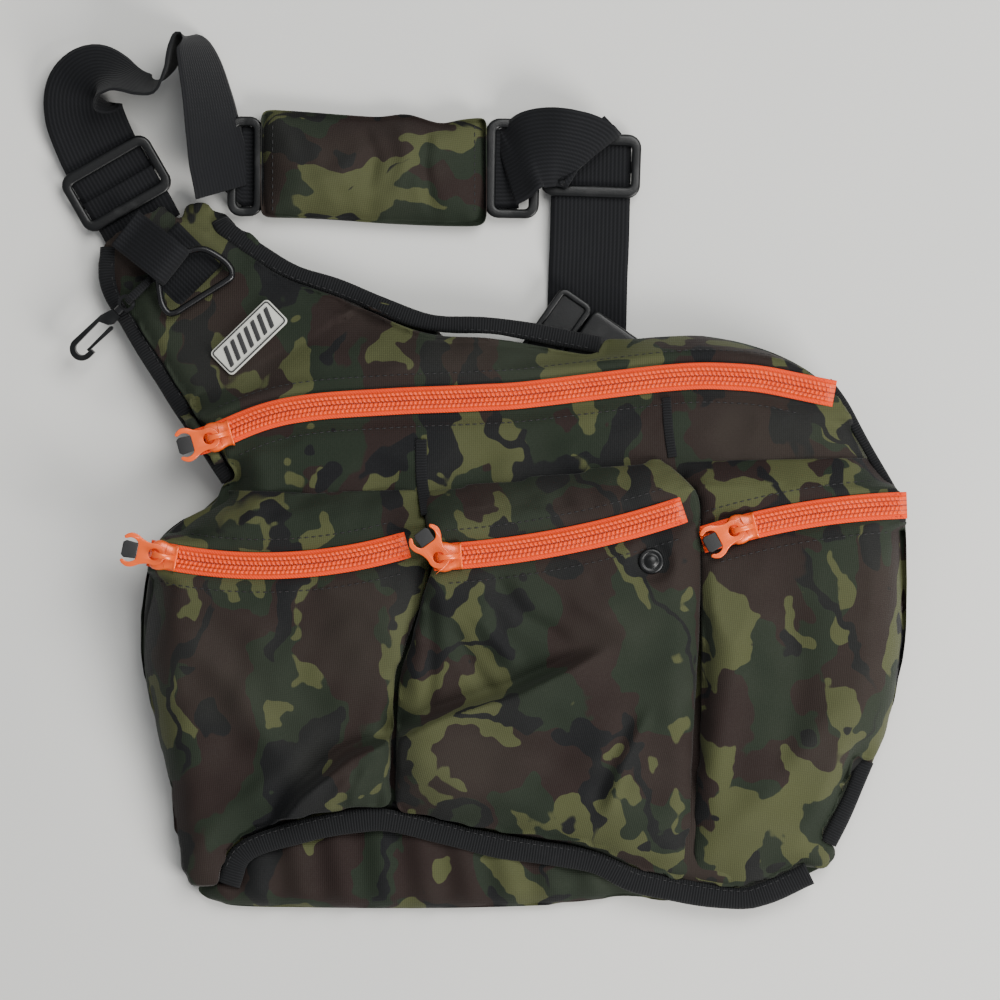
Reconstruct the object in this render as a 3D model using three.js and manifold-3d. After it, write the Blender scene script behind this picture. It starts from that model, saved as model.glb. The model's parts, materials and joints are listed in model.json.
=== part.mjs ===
// A sling bag in camouflage canvas, lying on its back with its front up. Millimetres, +Z up.
// While it is built, x runs right and y runs up the front panel, from the middle of the front.
// The finished group is moved so that its origin is the middle of the bottom of its own box.
import * as THREE from 'three';
import { mergeVertices } from 'three/addons/utils/BufferGeometryUtils.js';
import Module from 'manifold-3d';

const wasm = await Module();
wasm.setup();

// ---------------------------------------------------------------- driving dimensions
const gap = 0.3;
const body = { left: -155, top: 72, width: 360, height: 283 };
const layer = { back: 2.6, main: 33, neck: 10, bottom: 16 };
const pocket = { left: 43, middle: 49, right: 45, shoulder: 16, seam: 2.4 };
const gusset = { thickness: 8 };
const binding = { width: 8, thickness: 4.5, wide: 11 };
const webbing = { width: 38, thickness: 1.6 };
const neck = { x: -158.4, y: 120.5, turn: 30, margin: 2.5 };
const pad = { length: 105.6, width: 50.4, thickness: 13, fromShoulder: 14.16, clearance: 0.9 };
const padSlide = { left: 17, right: 26 };
const adjuster = { length: 31, height: 5.2, rail: 4, bar: 6, spare: 1 };
const zip = { tape: 12.6, tapeThickness: 0.8, chain: 8.6, chainThickness: 2 };
const slider = { length: 13, front: 14.4, rear: 11.4, plate: 1.5, wall: 1.3 };
const bridge = { radius: 4.4, width: 3.2, thickness: 1.8 };
const puller = { thickness: 1.4, hole: 2.8, rim: 2, body: 7.8, reach: 15, horn: 2.2, mouth: 9 };
const ring = { width: 40, depth: 25, wire: 3.2 };
const tab = { width: 21, cavity: 10.4, length: 26 };
const hook = { length: 36, width: 11.4, thickness: 3.6, stem: 2.4, eye: 4.2 };
const stud = { radius: 6, height: 2.6, across: 0.6653, down: 0.4078 };
const badge = { length: 38, width: 15.5, thickness: 2.2, turn: 44.5, fromSeamStart: 50.9 };
const buckle = {
  width: 46, socket: 18.7, plug: 32, height: 9.6, wall: 2.2, turn: -35, left: 8.7, down: 13.9,
};
const drop = { leftOfSlide: 3, tunnelLeft: 14, tunnelSide: 15.3, depth: 58 };

// ---------------------------------------------------------------- finishes
const finish = (color, roughness, metalness = 0) => () =>
  new THREE.MeshStandardMaterial({ color, roughness, metalness });
const canvas = finish(0x3d4029, 0.9);
const grosgrain = finish(0x16181c, 0.85);
const tapeCloth = finish(0xe8693a, 0.8);
const coil = finish(0xf07a45, 0.45);
const enamel = finish(0xf07828, 0.35, 0.4);
const rubber = finish(0x17171a, 0.7);
const acetal = finish(0x1c1e22, 0.45);
const blackMetal = finish(0x121214, 0.3, 0.8);

// ---------------------------------------------------------------- solids
const bag = new THREE.Group();

// A named piece; everything sewn or hung on the bag is added to the group that carries it.
function piece(name, geometry, material, parent = bag) {
  const mesh = new THREE.Mesh(geometry, material());
  mesh.name = name;
  parent.add(mesh);
  return mesh;
}

function solid(geometry) {
  const bare = geometry.index ? geometry.toNonIndexed() : geometry.clone();
  bare.deleteAttribute('normal');
  bare.deleteAttribute('uv');
  const merged = mergeVertices(bare, 1e-4);
  return new wasm.Manifold(new wasm.Mesh({
    numProp: 3,
    vertProperties: new Float32Array(merged.attributes.position.array),
    triVerts: new Uint32Array(merged.index.array),
  }));
}

function geometryOf(manifold) {
  const mesh = manifold.getMesh();
  const geometry = new THREE.BufferGeometry();
  geometry.setAttribute('position', new THREE.BufferAttribute(new Float32Array(mesh.vertProperties), 3));
  geometry.setIndex(Array.from(mesh.triVerts));
  const faceted = geometry.toNonIndexed();
  faceted.computeVertexNormals();
  return faceted;
}

// A shape raised from one level to another.
function raised(shape, low, high, curveSegments = 8) {
  const geometry = new THREE.ExtrudeGeometry(shape, {
    depth: high - low, bevelEnabled: false, curveSegments,
  });
  return geometry.translate(0, 0, low);
}

const prism = (points, low, high) => solid(raised(new THREE.Shape(points), low, high));

// A block whose upper face is the slanted plane through (y0, z0) and (y1, z1), for any x.
function underSlope(y0, z0, y1, z1) {
  const far = 900;
  const rise = (z1 - z0) / (y1 - y0);
  const profile = new THREE.Shape([
    new THREE.Vector2(-far, -far),
    new THREE.Vector2(far, -far),
    new THREE.Vector2(far, z0 + rise * (far - y0)),
    new THREE.Vector2(-far, z0 + rise * (-far - y0)),
  ]);
  const geometry = raised(profile, -far, far);
  geometry.rotateX(Math.PI / 2);
  geometry.rotateZ(Math.PI / 2);
  return solid(geometry);
}

// The same block turned about +Z through a point in plan, so the slope faces along `heading`.
function underTurnedSlope(point, heading, z0, rise) {
  const block = underSlope(0, z0, 100, z0 + rise * 100);
  return block.rotate([0, 0, heading - 90]).translate([point.x, point.y, 0]);
}

// A strip of rectangular section: each station is its centre and the unit direction across it.
function strip(stations, width, thickness) {
  const vertices = [];
  const index = [];
  stations.forEach(({ at, across }, i) => {
    const before = stations[Math.max(i - 1, 0)].at;
    const after = stations[Math.min(i + 1, stations.length - 1)].at;
    const along = after.clone().sub(before).normalize();
    const normal = along.clone().cross(across).normalize();
    for (const [side, face] of [[1, 1], [-1, 1], [-1, -1], [1, -1]]) {
      const corner = at.clone().addScaledVector(across, side * width / 2);
      corner.addScaledVector(normal, face * thickness / 2);
      vertices.push(...corner.toArray());
    }
  });
  const last = 4 * (stations.length - 1);
  for (let base = 0; base < last; base += 4) {
    for (let j = 0; j < 4; j += 1) {
      const k = (j + 1) % 4;
      index.push(base + j, base + k, base + 4 + k);
      index.push(base + j, base + 4 + k, base + 4 + j);
    }
  }
  index.push(0, 2, 1, 0, 3, 2);
  index.push(last, last + 1, last + 2, last, last + 2, last + 3);
  const geometry = new THREE.BufferGeometry();
  geometry.setAttribute('position', new THREE.Float32BufferAttribute(vertices, 3));
  geometry.setIndex(index);
  geometry.computeVertexNormals();
  return geometry;
}

const vector = (x, y, z) => new THREE.Vector3(x, y, z);
const radians = THREE.MathUtils.degToRad;

// A level strip along a smooth curve through the given points, lying flat.
function flatStrip(points, width, thickness, steps) {
  const curve = new THREE.CatmullRomCurve3(points, false, 'centripetal');
  const stations = curve.getSpacedPoints(steps).map((at, i) => {
    const along = curve.getTangentAt(i / steps);
    return { at, across: vector(-along.y, along.x, 0).normalize() };
  });
  return strip(stations, width, thickness);
}

// ---------------------------------------------------------------- the bag's outline
// A place on the body: shares of its width from the left and of its height down from the top.
const spot = (across, down) =>
  new THREE.Vector2(body.left + across * body.width, body.top - down * body.height);

const neckAxis = new THREE.Vector2(Math.cos(radians(neck.turn)), Math.sin(radians(neck.turn)));
const neckUp = new THREE.Vector2(-neckAxis.y, neckAxis.x);
const neckHalf = webbing.width / 2 + neck.margin;
const atNeck = (across, up) => new THREE.Vector2(neck.x, neck.y)
  .addScaledVector(neckAxis, across)
  .addScaledVector(neckUp, up);

const sharp = [
  atNeck(-neckHalf, 0),
  atNeck(neckHalf - 8, 2),
];
const outlineTop = [
  atNeck(neckHalf + 8, -6),
  spot(0.114, -0.17),
  spot(0.188, -0.099),
  spot(0.263, -0.064),
  spot(0.368, -0.009),
  spot(0.468, 0),
  spot(0.603, 0.03),
  spot(0.747, 0.031),
  spot(0.857, 0.074),
  spot(0.926, 0.147),
  spot(0.956, 0.231),
  spot(0.994, 0.306),
  spot(1, 0.438),
  spot(1, 0.561),
  spot(0.974, 0.724),
  spot(0.915, 0.886),
];
const outlineBottom = [
  spot(0.905, 0.929),
  spot(0.817, 0.984),
  spot(0.758, 1),
  spot(0.645, 0.975),
  spot(0.548, 0.988),
  spot(0.375, 0.997),
  spot(0.204, 0.995),
  spot(0.097, 0.988),
  spot(0.053, 0.952),
  spot(0.04, 0.888),
  spot(0.028, 0.781),
  spot(-0.005, 0.579),
  spot(0.01, 0.4),
  spot(0.052, 0.34),
  spot(0.099, 0.296),
];
const outlineLeft = [
  spot(0.044, 0.17),
  spot(-0.036, 0.004),
  spot(-0.066, -0.08),
];
const outline = [...sharp, ...new THREE.SplineCurve([
  ...outlineTop, ...outlineBottom, ...outlineLeft,
]).getPoints(100)];

// ---------------------------------------------------------------- bindings and their seats
const level = (point, z) => vector(point.x, point.y, z);

// Each binding: its run over the edge of the panels, its width and the sizes of its section.
const bindingRuns = {
  binding_top: {
    width: binding.width,
    steps: 20,
    run: [
      level(atNeck(neckHalf - 5, -1), 9),
      level(spot(0.107, -0.148), 11),
      level(spot(0.184, -0.083), 15),
      level(spot(0.258, -0.049), 18),
      level(spot(0.368, 0.006), 20),
      level(spot(0.468, 0.015), 20),
      level(spot(0.6, 0.046), 20),
    ],
  },
  binding_neck: {
    width: binding.width,
    steps: 14,
    run: [
      level(atNeck(-neckHalf + 4.5, -5), 8),
      level(spot(-0.052, -0.06), 10.5),
      level(spot(-0.024, 0.01), 11.5),
      level(spot(0.058, 0.172), 19),
      level(spot(0.11, 0.272), 21),
    ],
  },
  binding_bottom: {
    width: binding.wide,
    steps: 26,
    run: [
      level(spot(0.108, 0.955), 12),
      level(spot(0.128, 0.9), 13),
      level(spot(0.201, 0.866), 15),
      level(spot(0.281, 0.846), 16),
      level(spot(0.334, 0.849), 16),
      level(spot(0.461, 0.888), 15),
      level(spot(0.584, 0.914), 14),
      level(spot(0.654, 0.951), 13),
      level(spot(0.774, 0.978), 12),
      level(spot(0.823, 0.968), 12),
      level(spot(0.878, 0.936), 12),
    ],
  },
  binding_side: {
    width: binding.width,
    steps: 8,
    run: [
      level(spot(0.952, 0.745), 16),
      level(spot(0.93, 0.815), 14),
      level(spot(0.903, 0.885), 12),
    ],
  },
};

// The panels stop short of each binding, so its seat is cut with the run widened by the gap.
const seatClearance = 2 * gap;
function lengthened(run, extra) {
  const end = run.length - 1;
  const outward = (from, to) => to.clone().add(to.clone().sub(from).setLength(extra));
  return [outward(run[1], run[0]), ...run, outward(run[end - 1], run[end])];
}
const bindingSeats = Object.values(bindingRuns).map(({ run, width, steps }) => {
  const level40 = lengthened(run.map((point) => level(point, 40)), 3);
  return solid(flatStrip(level40, width + 2 * seatClearance, 70, 2 * steps));
});

function withoutSeats(panel) {
  return bindingSeats.reduce((rest, seat) => rest.subtract(seat), panel);
}

for (const [name, { run, width, steps }] of Object.entries(bindingRuns)) {
  piece(name, flatStrip(run, width, binding.thickness, steps), grosgrain);
}

// ---------------------------------------------------------------- panels and compartments
// Only the largest solid is kept where a cut leaves slivers beyond a binding.
function largest(manifold) {
  const parts = manifold.decompose();
  return parts.reduce((best, part) => (part.volume() > best.volume() ? part : best));
}

const whole = prism(outline, 0, 100);
const neckLine = [spot(0.03, 0.16), spot(0.32, -0.04)];
const neckRegion = [
  neckLine[0],
  neckLine[1],
  spot(0.32, -0.5),
  spot(-0.4, -0.5),
  spot(-0.4, 0.16),
];
const mainRegion = [
  neckLine[0].clone().add(new THREE.Vector2(gap, -gap)),
  neckLine[1].clone().add(new THREE.Vector2(gap, -gap)),
  spot(0.32 + gap / body.width, -0.5),
  spot(1.2, -0.5),
  spot(1.2, 1.3),
  spot(-0.3, 1.3),
  spot(-0.3, 0.16 + gap / body.height),
];

// The bottom gusset lies outside the bottom binding.
const bottomRun = bindingRuns.binding_bottom.run;
const gussetRegion = [
  ...new THREE.SplineCurve(bottomRun.map(({ x, y }) => new THREE.Vector2(x, y))).getPoints(30),
  spot(1.1, 0.93),
  spot(1.1, 1.2),
  spot(-0.2, 1.2),
  spot(-0.2, 0.98),
];
const belowBinding = prism(gussetRegion, -5, 100);

// Where the strap lies: the pad beside the shoulder of the outline, then its slides and the drop.
const slideWidth = webbing.width + 2 * (adjuster.spare + adjuster.rail);
const shoulderPoint = spot(0.114, -0.17);
const padLeft = shoulderPoint.x + pad.fromShoulder;
const padY = shoulderPoint.y + pad.clearance + slideWidth / 2 - 1;
const padRight = padLeft + pad.length;
const dropSlideX = padRight + padSlide.right + 4 * gap + slideWidth / 2;
const dropX = dropSlideX - drop.leftOfSlide;

// The tunnel at the top edge, where the drop webbing and the buckle go under the bag.
const tunnelHalf = webbing.width / 2 + buckle.socket + drop.tunnelSide;
const tunnelX = dropX - drop.tunnelLeft;
const lowWebbing = 1.2;
const tunnelTop = lowWebbing + webbing.thickness + gap + buckle.height + 2 * gap;
const tunnel = prism([
  new THREE.Vector2(tunnelX - tunnelHalf, body.top + 20),
  new THREE.Vector2(tunnelX - tunnelHalf, body.top - drop.depth),
  new THREE.Vector2(tunnelX + tunnelHalf, body.top - drop.depth),
  new THREE.Vector2(tunnelX + tunnelHalf, body.top + 20),
], -5, tunnelTop);

// The flat panel against the wearer's back; the neck webbing is sewn in above it.
const backPanel = whole.intersect(prism(outline, 0, layer.back)).subtract(tunnel);
piece('back_panel', geometryOf(largest(backPanel)), canvas);

const webbingRoot = 12;
const neckSlot = prism([
  atNeck(-webbing.width / 2 - gap, 10),
  atNeck(-webbing.width / 2 - gap, -webbingRoot - gap),
  atNeck(webbing.width / 2 + gap, -webbingRoot - gap),
  atNeck(webbing.width / 2 + gap, 10),
], 0, layer.back + 3 * gap + webbing.thickness);

const neckFall = (layer.main - 5 - layer.neck) / 110;
const neckPanel = prism(outline, layer.back + gap, 60)
  .intersect(prism(neckRegion, 0, 60))
  .intersect(underTurnedSlope(atNeck(0, 0), -60, layer.neck, neckFall))
  .subtract(neckSlot);
piece('neck_panel', geometryOf(largest(withoutSeats(neckPanel))), canvas);

const flatTo = spot(0, 0.285).y;
const mainSlope = [flatTo, layer.main, spot(0, 0.93).y, layer.bottom - 3];
const mainBody = prism(outline, layer.back + gap, layer.main)
  .intersect(prism(mainRegion, 0, 60))
  .intersect(underSlope(...mainSlope))
  .subtract(tunnel)
  .subtract(belowBinding);
piece('main_compartment', geometryOf(largest(withoutSeats(mainBody))), canvas);

const gussetBody = prism(outline, layer.back + gap, layer.back + gap + gusset.thickness)
  .intersect(belowBinding)
  .intersect(prism([spot(0.03, 0.8), spot(0.7, 0.8), spot(0.7, 1.1), spot(0.03, 1.1)], 0, 40));
const bottomSeatLow = solid(flatStrip(
  bottomRun.map((point) => level(point, 40)), gap * 2, 80, 26));
piece('bottom_gusset', geometryOf(largest(gussetBody.subtract(bottomSeatLow)
  .subtract(solid(flatStrip(bottomRun.map((p) => level(p, p.z)),
    binding.wide + 2 * gap, binding.thickness + 2 * gap, 26))))), canvas);

// Each pocket stands on the sloping front of the main compartment, flat under its zip, with a
// gathered shoulder above and a long fall to the bottom binding.
const seams = {
  left: [[0.362, 0.2], [0.362, 0.285], [0.382, 0.4], [0.335, 0.6], [0.314, 1.1]],
  right: [[0.686, 0.1], [0.686, 0.24], [0.729, 0.3], [0.73, 0.55], [0.715, 1.1]],
};
const beside = (seam, side) => seam.map(([across, down]) =>
  spot(across, down).add(new THREE.Vector2(side * pocket.seam / 2, 0)));
const pocketPlans = {
  pocket_left: {
    top: pocket.left,
    plan: [
      spot(-0.1, 1.1), spot(-0.1, 0.2), ...beside(seams.left, -1),
    ],
    crease: [0.1, 0.285, 0.33, 0.285],
  },
  pocket_middle: {
    top: pocket.middle,
    plan: [
      ...beside(seams.left, 1).reverse(), ...beside(seams.right, -1),
    ],
    crease: [0.365, 0.285, 0.68, 0.235],
  },
  pocket_right: {
    top: pocket.right,
    plan: [
      ...beside(seams.right, 1).reverse(), spot(1.1, 0.1), spot(1.1, 1.1),
    ],
    crease: [0.69, 0.235, 0.94, 0.23],
  },
};

const onMain = underSlope(mainSlope[0], mainSlope[1] + gap, mainSlope[2], mainSlope[3] + gap);
const overMainFlat = prism(mainRegion, -1, layer.main + gap);
for (const [name, { top, plan, crease }] of Object.entries(pocketPlans)) {
  const [x0, y0, x1, y1] = crease;
  const start = spot(x0, y0);
  const end = spot(x1, y1);
  const heading = Math.atan2(end.y - start.y, end.x - start.x) * 180 / Math.PI + 90;
  const shoulderRise = -(top - layer.main - 2) / pocket.shoulder;
  const shoulder = underTurnedSlope(start, heading, layer.main + 2, shoulderRise);
  const fall = underSlope(spot(0, 0.46).y, top, spot(0, 0.94).y, layer.bottom);
  const block = prism(outline, 5, top)
    .intersect(prism(plan, 0, 100))
    .intersect(shoulder)
    .intersect(fall)
    .subtract(onMain.intersect(overMainFlat))
    .subtract(belowBinding);
  piece(name, geometryOf(largest(withoutSeats(block))), canvas);
}

// ---------------------------------------------------------------- zips
// The circle through two ends of a zip that rises by `rise` over its chord (negative: it sags).
function zipTrack(start, end, rise, height) {
  const chord = end.clone().sub(start);
  const radius = (chord.lengthSq() / 4 + rise * rise) / (2 * Math.abs(rise));
  const upward = new THREE.Vector2(-chord.y, chord.x).normalize();
  const toCentre = -Math.sign(rise) * (radius - Math.abs(rise));
  const centre = start.clone().add(end).multiplyScalar(0.5).addScaledVector(upward, toCentre);
  const angle = (point) => Math.atan2(point.y - centre.y, point.x - centre.x);
  return { centre, radius, from: angle(start), to: angle(end), height, sign: -Math.sign(rise) };
}

const zipLift = gap + zip.tapeThickness;
const zipPlans = {
  main: {
    track: zipTrack(spot(0.0972, 0.1993), spot(0.91, 0.138), 16, layer.main),
    swing: 0,
    before: 9,
  },
  left: {
    track: zipTrack(spot(0.0275, 0.4), spot(0.345, 0.382), -7, pocket.left),
    swing: 0,
    before: 4,
  },
  middle: {
    track: zipTrack(spot(0.4, 0.4), spot(0.7, 0.325), -3.4, pocket.middle),
    swing: -70,
    before: 4,
  },
  right: {
    track: zipTrack(spot(0.784, 0.353), spot(0.985, 0.315), 1.9, pocket.right),
    swing: 14,
    before: 17,
  },
};

// A ring sector raised between two levels.
function sector(track, inner, outer, low, high, before, after) {
  const lead = before / track.radius;
  const trail = after / track.radius;
  const a = track.from - track.sign * lead;
  const b = track.to + track.sign * trail;
  const shape = new THREE.Shape();
  const clockwise = track.sign < 0;
  shape.absarc(0, 0, track.radius + outer, a, b, clockwise);
  shape.absarc(0, 0, track.radius + inner, b, a, !clockwise);
  return raised(shape, low, high, 14).translate(track.centre.x, track.centre.y, 0);
}

const plateLow = zipLift + gap + zip.chainThickness + gap;
const plateTop = plateLow + slider.plate;
const pullerLevel = plateTop + gap + puller.thickness / 2;

function sliderGeometry() {
  const nose = slider.front / 2;
  const tail = slider.rear / 2;
  const half = slider.length / 2;
  const plan = new THREE.Shape();
  plan.moveTo(-half, -nose * 0.5);
  plan.quadraticCurveTo(-half * 0.8, -nose, -half * 0.2, -nose);
  plan.lineTo(half, -tail);
  plan.lineTo(half, tail);
  plan.lineTo(-half * 0.2, nose);
  plan.quadraticCurveTo(-half * 0.8, nose, -half, nose * 0.5);
  const plate = solid(raised(plan, plateLow, plateTop, 5));
  const innerWall = zip.chain / 2 + gap;
  const walls = [1, -1].map((side) => {
    const low = Math.min(side * innerWall, side * (innerWall + slider.wall));
    const wall = new THREE.Shape([
      new THREE.Vector2(-half * 0.6, low),
      new THREE.Vector2(half, low),
      new THREE.Vector2(half, low + slider.wall),
      new THREE.Vector2(-half * 0.6, low + slider.wall),
    ]);
    return solid(raised(wall, zipLift + gap, plateLow + 0.2));
  });
  const outer = bridge.radius + bridge.thickness / 2;
  const inner = bridge.radius - bridge.thickness / 2;
  const foot = plateTop - pullerLevel - 0.2;
  const arch = new THREE.Shape();
  arch.moveTo(outer, foot);
  arch.lineTo(outer, 0);
  arch.absarc(0, 0, outer, 0, Math.PI, false);
  arch.lineTo(-outer, foot);
  arch.lineTo(-inner, foot);
  arch.absarc(0, 0, inner, Math.PI, 0, true);
  arch.lineTo(inner, foot);
  const bar = raised(arch, -bridge.width / 2, bridge.width / 2, 10);
  bar.rotateX(Math.PI / 2);
  bar.translate(0, 0, pullerLevel);
  return geometryOf(plate.add(walls[0]).add(walls[1]).add(solid(bar)));
}

// The puller lies outward along -x from the bridge's centre: an eye, then two curved horns.
function pullerShape() {
  const eye = puller.hole + puller.rim;
  const hub = -bridge.radius;
  const front = hub - puller.body;
  const tip = hub - puller.reach;
  const inner = puller.mouth / 2;
  const outer = inner + puller.horn;
  const shape = new THREE.Shape();
  shape.absarc(hub, 0, eye, -Math.PI * 0.5, Math.PI * 0.5, false);
  shape.quadraticCurveTo(hub - 3, eye, front, outer);
  shape.quadraticCurveTo(front - 3, outer + 1.4, tip, inner + 0.6);
  shape.lineTo(tip, inner - 0.6);
  shape.quadraticCurveTo(front - 2, inner + 0.6, front, inner);
  shape.lineTo(front, -inner);
  shape.quadraticCurveTo(front - 2, -inner - 0.6, tip, -inner + 0.6);
  shape.lineTo(tip, -inner - 0.6);
  shape.quadraticCurveTo(front - 3, -outer - 1.4, front, -outer);
  shape.quadraticCurveTo(hub - 3, -eye, hub, -eye);
  const hole = new THREE.Path();
  hole.absarc(hub, 0, puller.hole, 0, 2 * Math.PI, true);
  shape.holes.push(hole);
  return shape;
}

function gripShape() {
  const front = -bridge.radius - puller.body - gap;
  const half = puller.mouth / 2 - 0.6 - 2 * gap;
  const length = puller.reach - puller.body + 1.5;
  return new THREE.Shape([
    new THREE.Vector2(front, -half),
    new THREE.Vector2(front, half),
    new THREE.Vector2(front - length + 1, half),
    new THREE.Vector2(front - length, half - 1),
    new THREE.Vector2(front - length, -half + 1),
    new THREE.Vector2(front - length + 1, -half),
  ]);
}

for (const [name, { track, swing, before }] of Object.entries(zipPlans)) {
  const tapeLow = track.height + gap;
  const chainLow = tapeLow + zip.tapeThickness + gap;
  const chainTop = chainLow + zip.chainThickness;
  const tape = sector(track, -zip.tape / 2, zip.tape / 2, tapeLow,
    tapeLow + zip.tapeThickness, before, 8);
  piece(`zip_tape_${name}`, tape, tapeCloth);
  const chain = sector(track, -zip.chain / 2, zip.chain / 2, chainLow, chainTop, before, 7);
  piece(`zip_coil_${name}`, chain, coil);

  // The track group stands at the arc's centre: the slider turns about it as it travels.
  const turning = new THREE.Group();
  turning.position.set(track.centre.x, track.centre.y, track.height);
  bag.add(turning);
  const carriage = new THREE.Group();
  const reach = new THREE.Vector2(track.radius, 0).rotateAround(new THREE.Vector2(), track.from);
  carriage.position.set(reach.x, reach.y, 0);
  carriage.rotation.z = track.from + track.sign * Math.PI / 2;
  turning.add(carriage);
  piece(`slider_${name}`, sliderGeometry(), enamel, carriage);

  const hanging = new THREE.Group();
  hanging.position.z = pullerLevel;
  carriage.add(hanging);
  const low = -puller.thickness / 2;
  const aboutLeg = (geometry) => geometry
    .translate(bridge.radius, 0, 0)
    .rotateZ(radians(swing))
    .translate(-bridge.radius, 0, 0);
  piece(`puller_${name}`, aboutLeg(raised(pullerShape(), low, -low, 6)), enamel, hanging);
  piece(`grip_${name}`, aboutLeg(raised(gripShape(), low - 0.2, -low + 0.4, 3)), rubber, hanging);
}

// ---------------------------------------------------------------- fittings on the neck
const neckTopAt = (point) => {
  const along = atNeck(0, 0).sub(point).dot(neckUp);
  return layer.neck + neckFall * along;
};

// The badge keeps clear of the seam between the neck and the main compartment.
const seamStart = neckLine[0];
const seamWay = neckLine[1].clone().sub(seamStart).normalize();
const badgeSlant = radians(badge.turn) - Math.atan2(seamWay.y, seamWay.x);
const badgeReach = (badge.length * Math.abs(Math.sin(badgeSlant))
  + badge.width * Math.abs(Math.cos(badgeSlant))) / 2;
const badgeAt = seamStart.clone()
  .addScaledVector(seamWay, badge.fromSeamStart)
  .addScaledVector(new THREE.Vector2(-seamWay.y, seamWay.x), badgeReach + gap);
const badgeCorner = 2.5;
function roundedRectangle(length, width, radius) {
  const x = length / 2;
  const y = width / 2;
  const shape = new THREE.Shape();
  shape.moveTo(-x + radius, -y);
  shape.lineTo(x - radius, -y);
  shape.absarc(x - radius, -y + radius, radius, -Math.PI / 2, 0, false);
  shape.lineTo(x, y - radius);
  shape.absarc(x - radius, y - radius, radius, 0, Math.PI / 2, false);
  shape.lineTo(-x + radius, y);
  shape.absarc(-x + radius, y - radius, radius, Math.PI / 2, Math.PI, false);
  shape.lineTo(-x, -y + radius);
  shape.absarc(-x + radius, -y + radius, radius, Math.PI, Math.PI * 1.5, false);
  return shape;
}
const badgeSolid = raised(roundedRectangle(badge.length, badge.width, badgeCorner), 0,
  badge.thickness, 4);
const badgeTilt = Math.atan(neckFall);
badgeSolid.rotateZ(radians(badge.turn + 60));
badgeSolid.rotateY(-badgeTilt);
badgeSolid.rotateZ(radians(-60));
badgeSolid.translate(badgeAt.x, badgeAt.y, neckTopAt(badgeAt) + gap + 0.3);
piece('badge', badgeSolid, rubber);

// The ring's straight bar faces the bag; its bow is held in the tab, which it swings in.
const ringAt = { x: -129.8, y: 83.5, turn: 32.3 };
const tabAt = new THREE.Vector2(-145.2, 99.2);
const tabTurn = 142;
const tabLow = neckTopAt(tabAt) + 4 * gap;
const ringLevel = tabLow + webbing.thickness + tab.cavity / 2;

function bowShape(width, depth) {
  const shape = new THREE.Shape();
  const half = width / 2;
  const corner = 4;
  shape.moveTo(-half + corner, 0);
  shape.lineTo(half - corner, 0);
  shape.quadraticCurveTo(half, 0, half, corner);
  shape.bezierCurveTo(half, depth * 0.9, half * 0.5, depth, 0, depth);
  shape.bezierCurveTo(-half * 0.5, depth, -half, depth * 0.9, -half, corner);
  shape.quadraticCurveTo(-half, 0, -half + corner, 0);
  return shape;
}
const ringShape = bowShape(ring.width, ring.depth);
const ringHole = bowShape(ring.width - 2 * ring.wire, ring.depth - 2 * ring.wire);
ringShape.holes.push(new THREE.Path(
  ringHole.getPoints(6).map((p) => new THREE.Vector2(p.x, p.y + ring.wire)).reverse()));
const ringGroup = new THREE.Group();
ringGroup.position.set(tabAt.x, tabAt.y, ringLevel);
bag.add(ringGroup);
const ringBody = raised(ringShape, -ring.wire / 2, ring.wire / 2, 6);
ringBody.rotateZ(radians(ringAt.turn));
ringBody.translate(ringAt.x - tabAt.x, ringAt.y - tabAt.y, 0);
piece('d_ring', ringBody, blackMetal, ringGroup);

// The tab is a flattened loop of webbing round the ring, sewn down at its open end.
const loopHalf = tab.cavity / 2 + webbing.thickness;
const loop = new THREE.Shape();
loop.moveTo(tab.length, -loopHalf);
loop.lineTo(tab.length, -loopHalf + webbing.thickness);
loop.lineTo(0, -tab.cavity / 2);
loop.absarc(0, 0, tab.cavity / 2, -Math.PI / 2, Math.PI / 2, true);
loop.lineTo(tab.length - 5, -loopHalf + webbing.thickness + gap * 2);
loop.lineTo(tab.length, -loopHalf + webbing.thickness + gap * 2);
loop.lineTo(tab.length, -loopHalf + 2 * webbing.thickness + gap * 2);
loop.lineTo(tab.length - 5, -loopHalf + 2 * webbing.thickness + gap * 2);
loop.lineTo(0, loopHalf);
loop.absarc(0, 0, loopHalf, Math.PI / 2, -Math.PI / 2, false);
const tabBody = raised(loop, -tab.width / 2, tab.width / 2, 6);
tabBody.rotateX(Math.PI / 2);
tabBody.rotateZ(radians(tabTurn));
tabBody.translate(tabAt.x, tabAt.y, ringLevel);
piece('d_ring_tab', tabBody, grosgrain);


// The swivel hook: its eye hangs in a small tab at the left edge of the neck.
const hookAt = new THREE.Vector2(-162, 81.5);
const hookTurn = 225;
const hookDroop = 9;
const hookLoop = 2;
const hookLevel = neckTopAt(hookAt) + 2 * gap + webbing.thickness + hookLoop;
const hookTabGroup = new THREE.Group();
hookTabGroup.position.set(hookAt.x, hookAt.y, hookLevel);
hookTabGroup.rotation.z = radians(hookTurn);
bag.add(hookTabGroup);
const hookGroup = new THREE.Group();
hookGroup.rotation.y = radians(hookDroop);
hookTabGroup.add(hookGroup);

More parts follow.
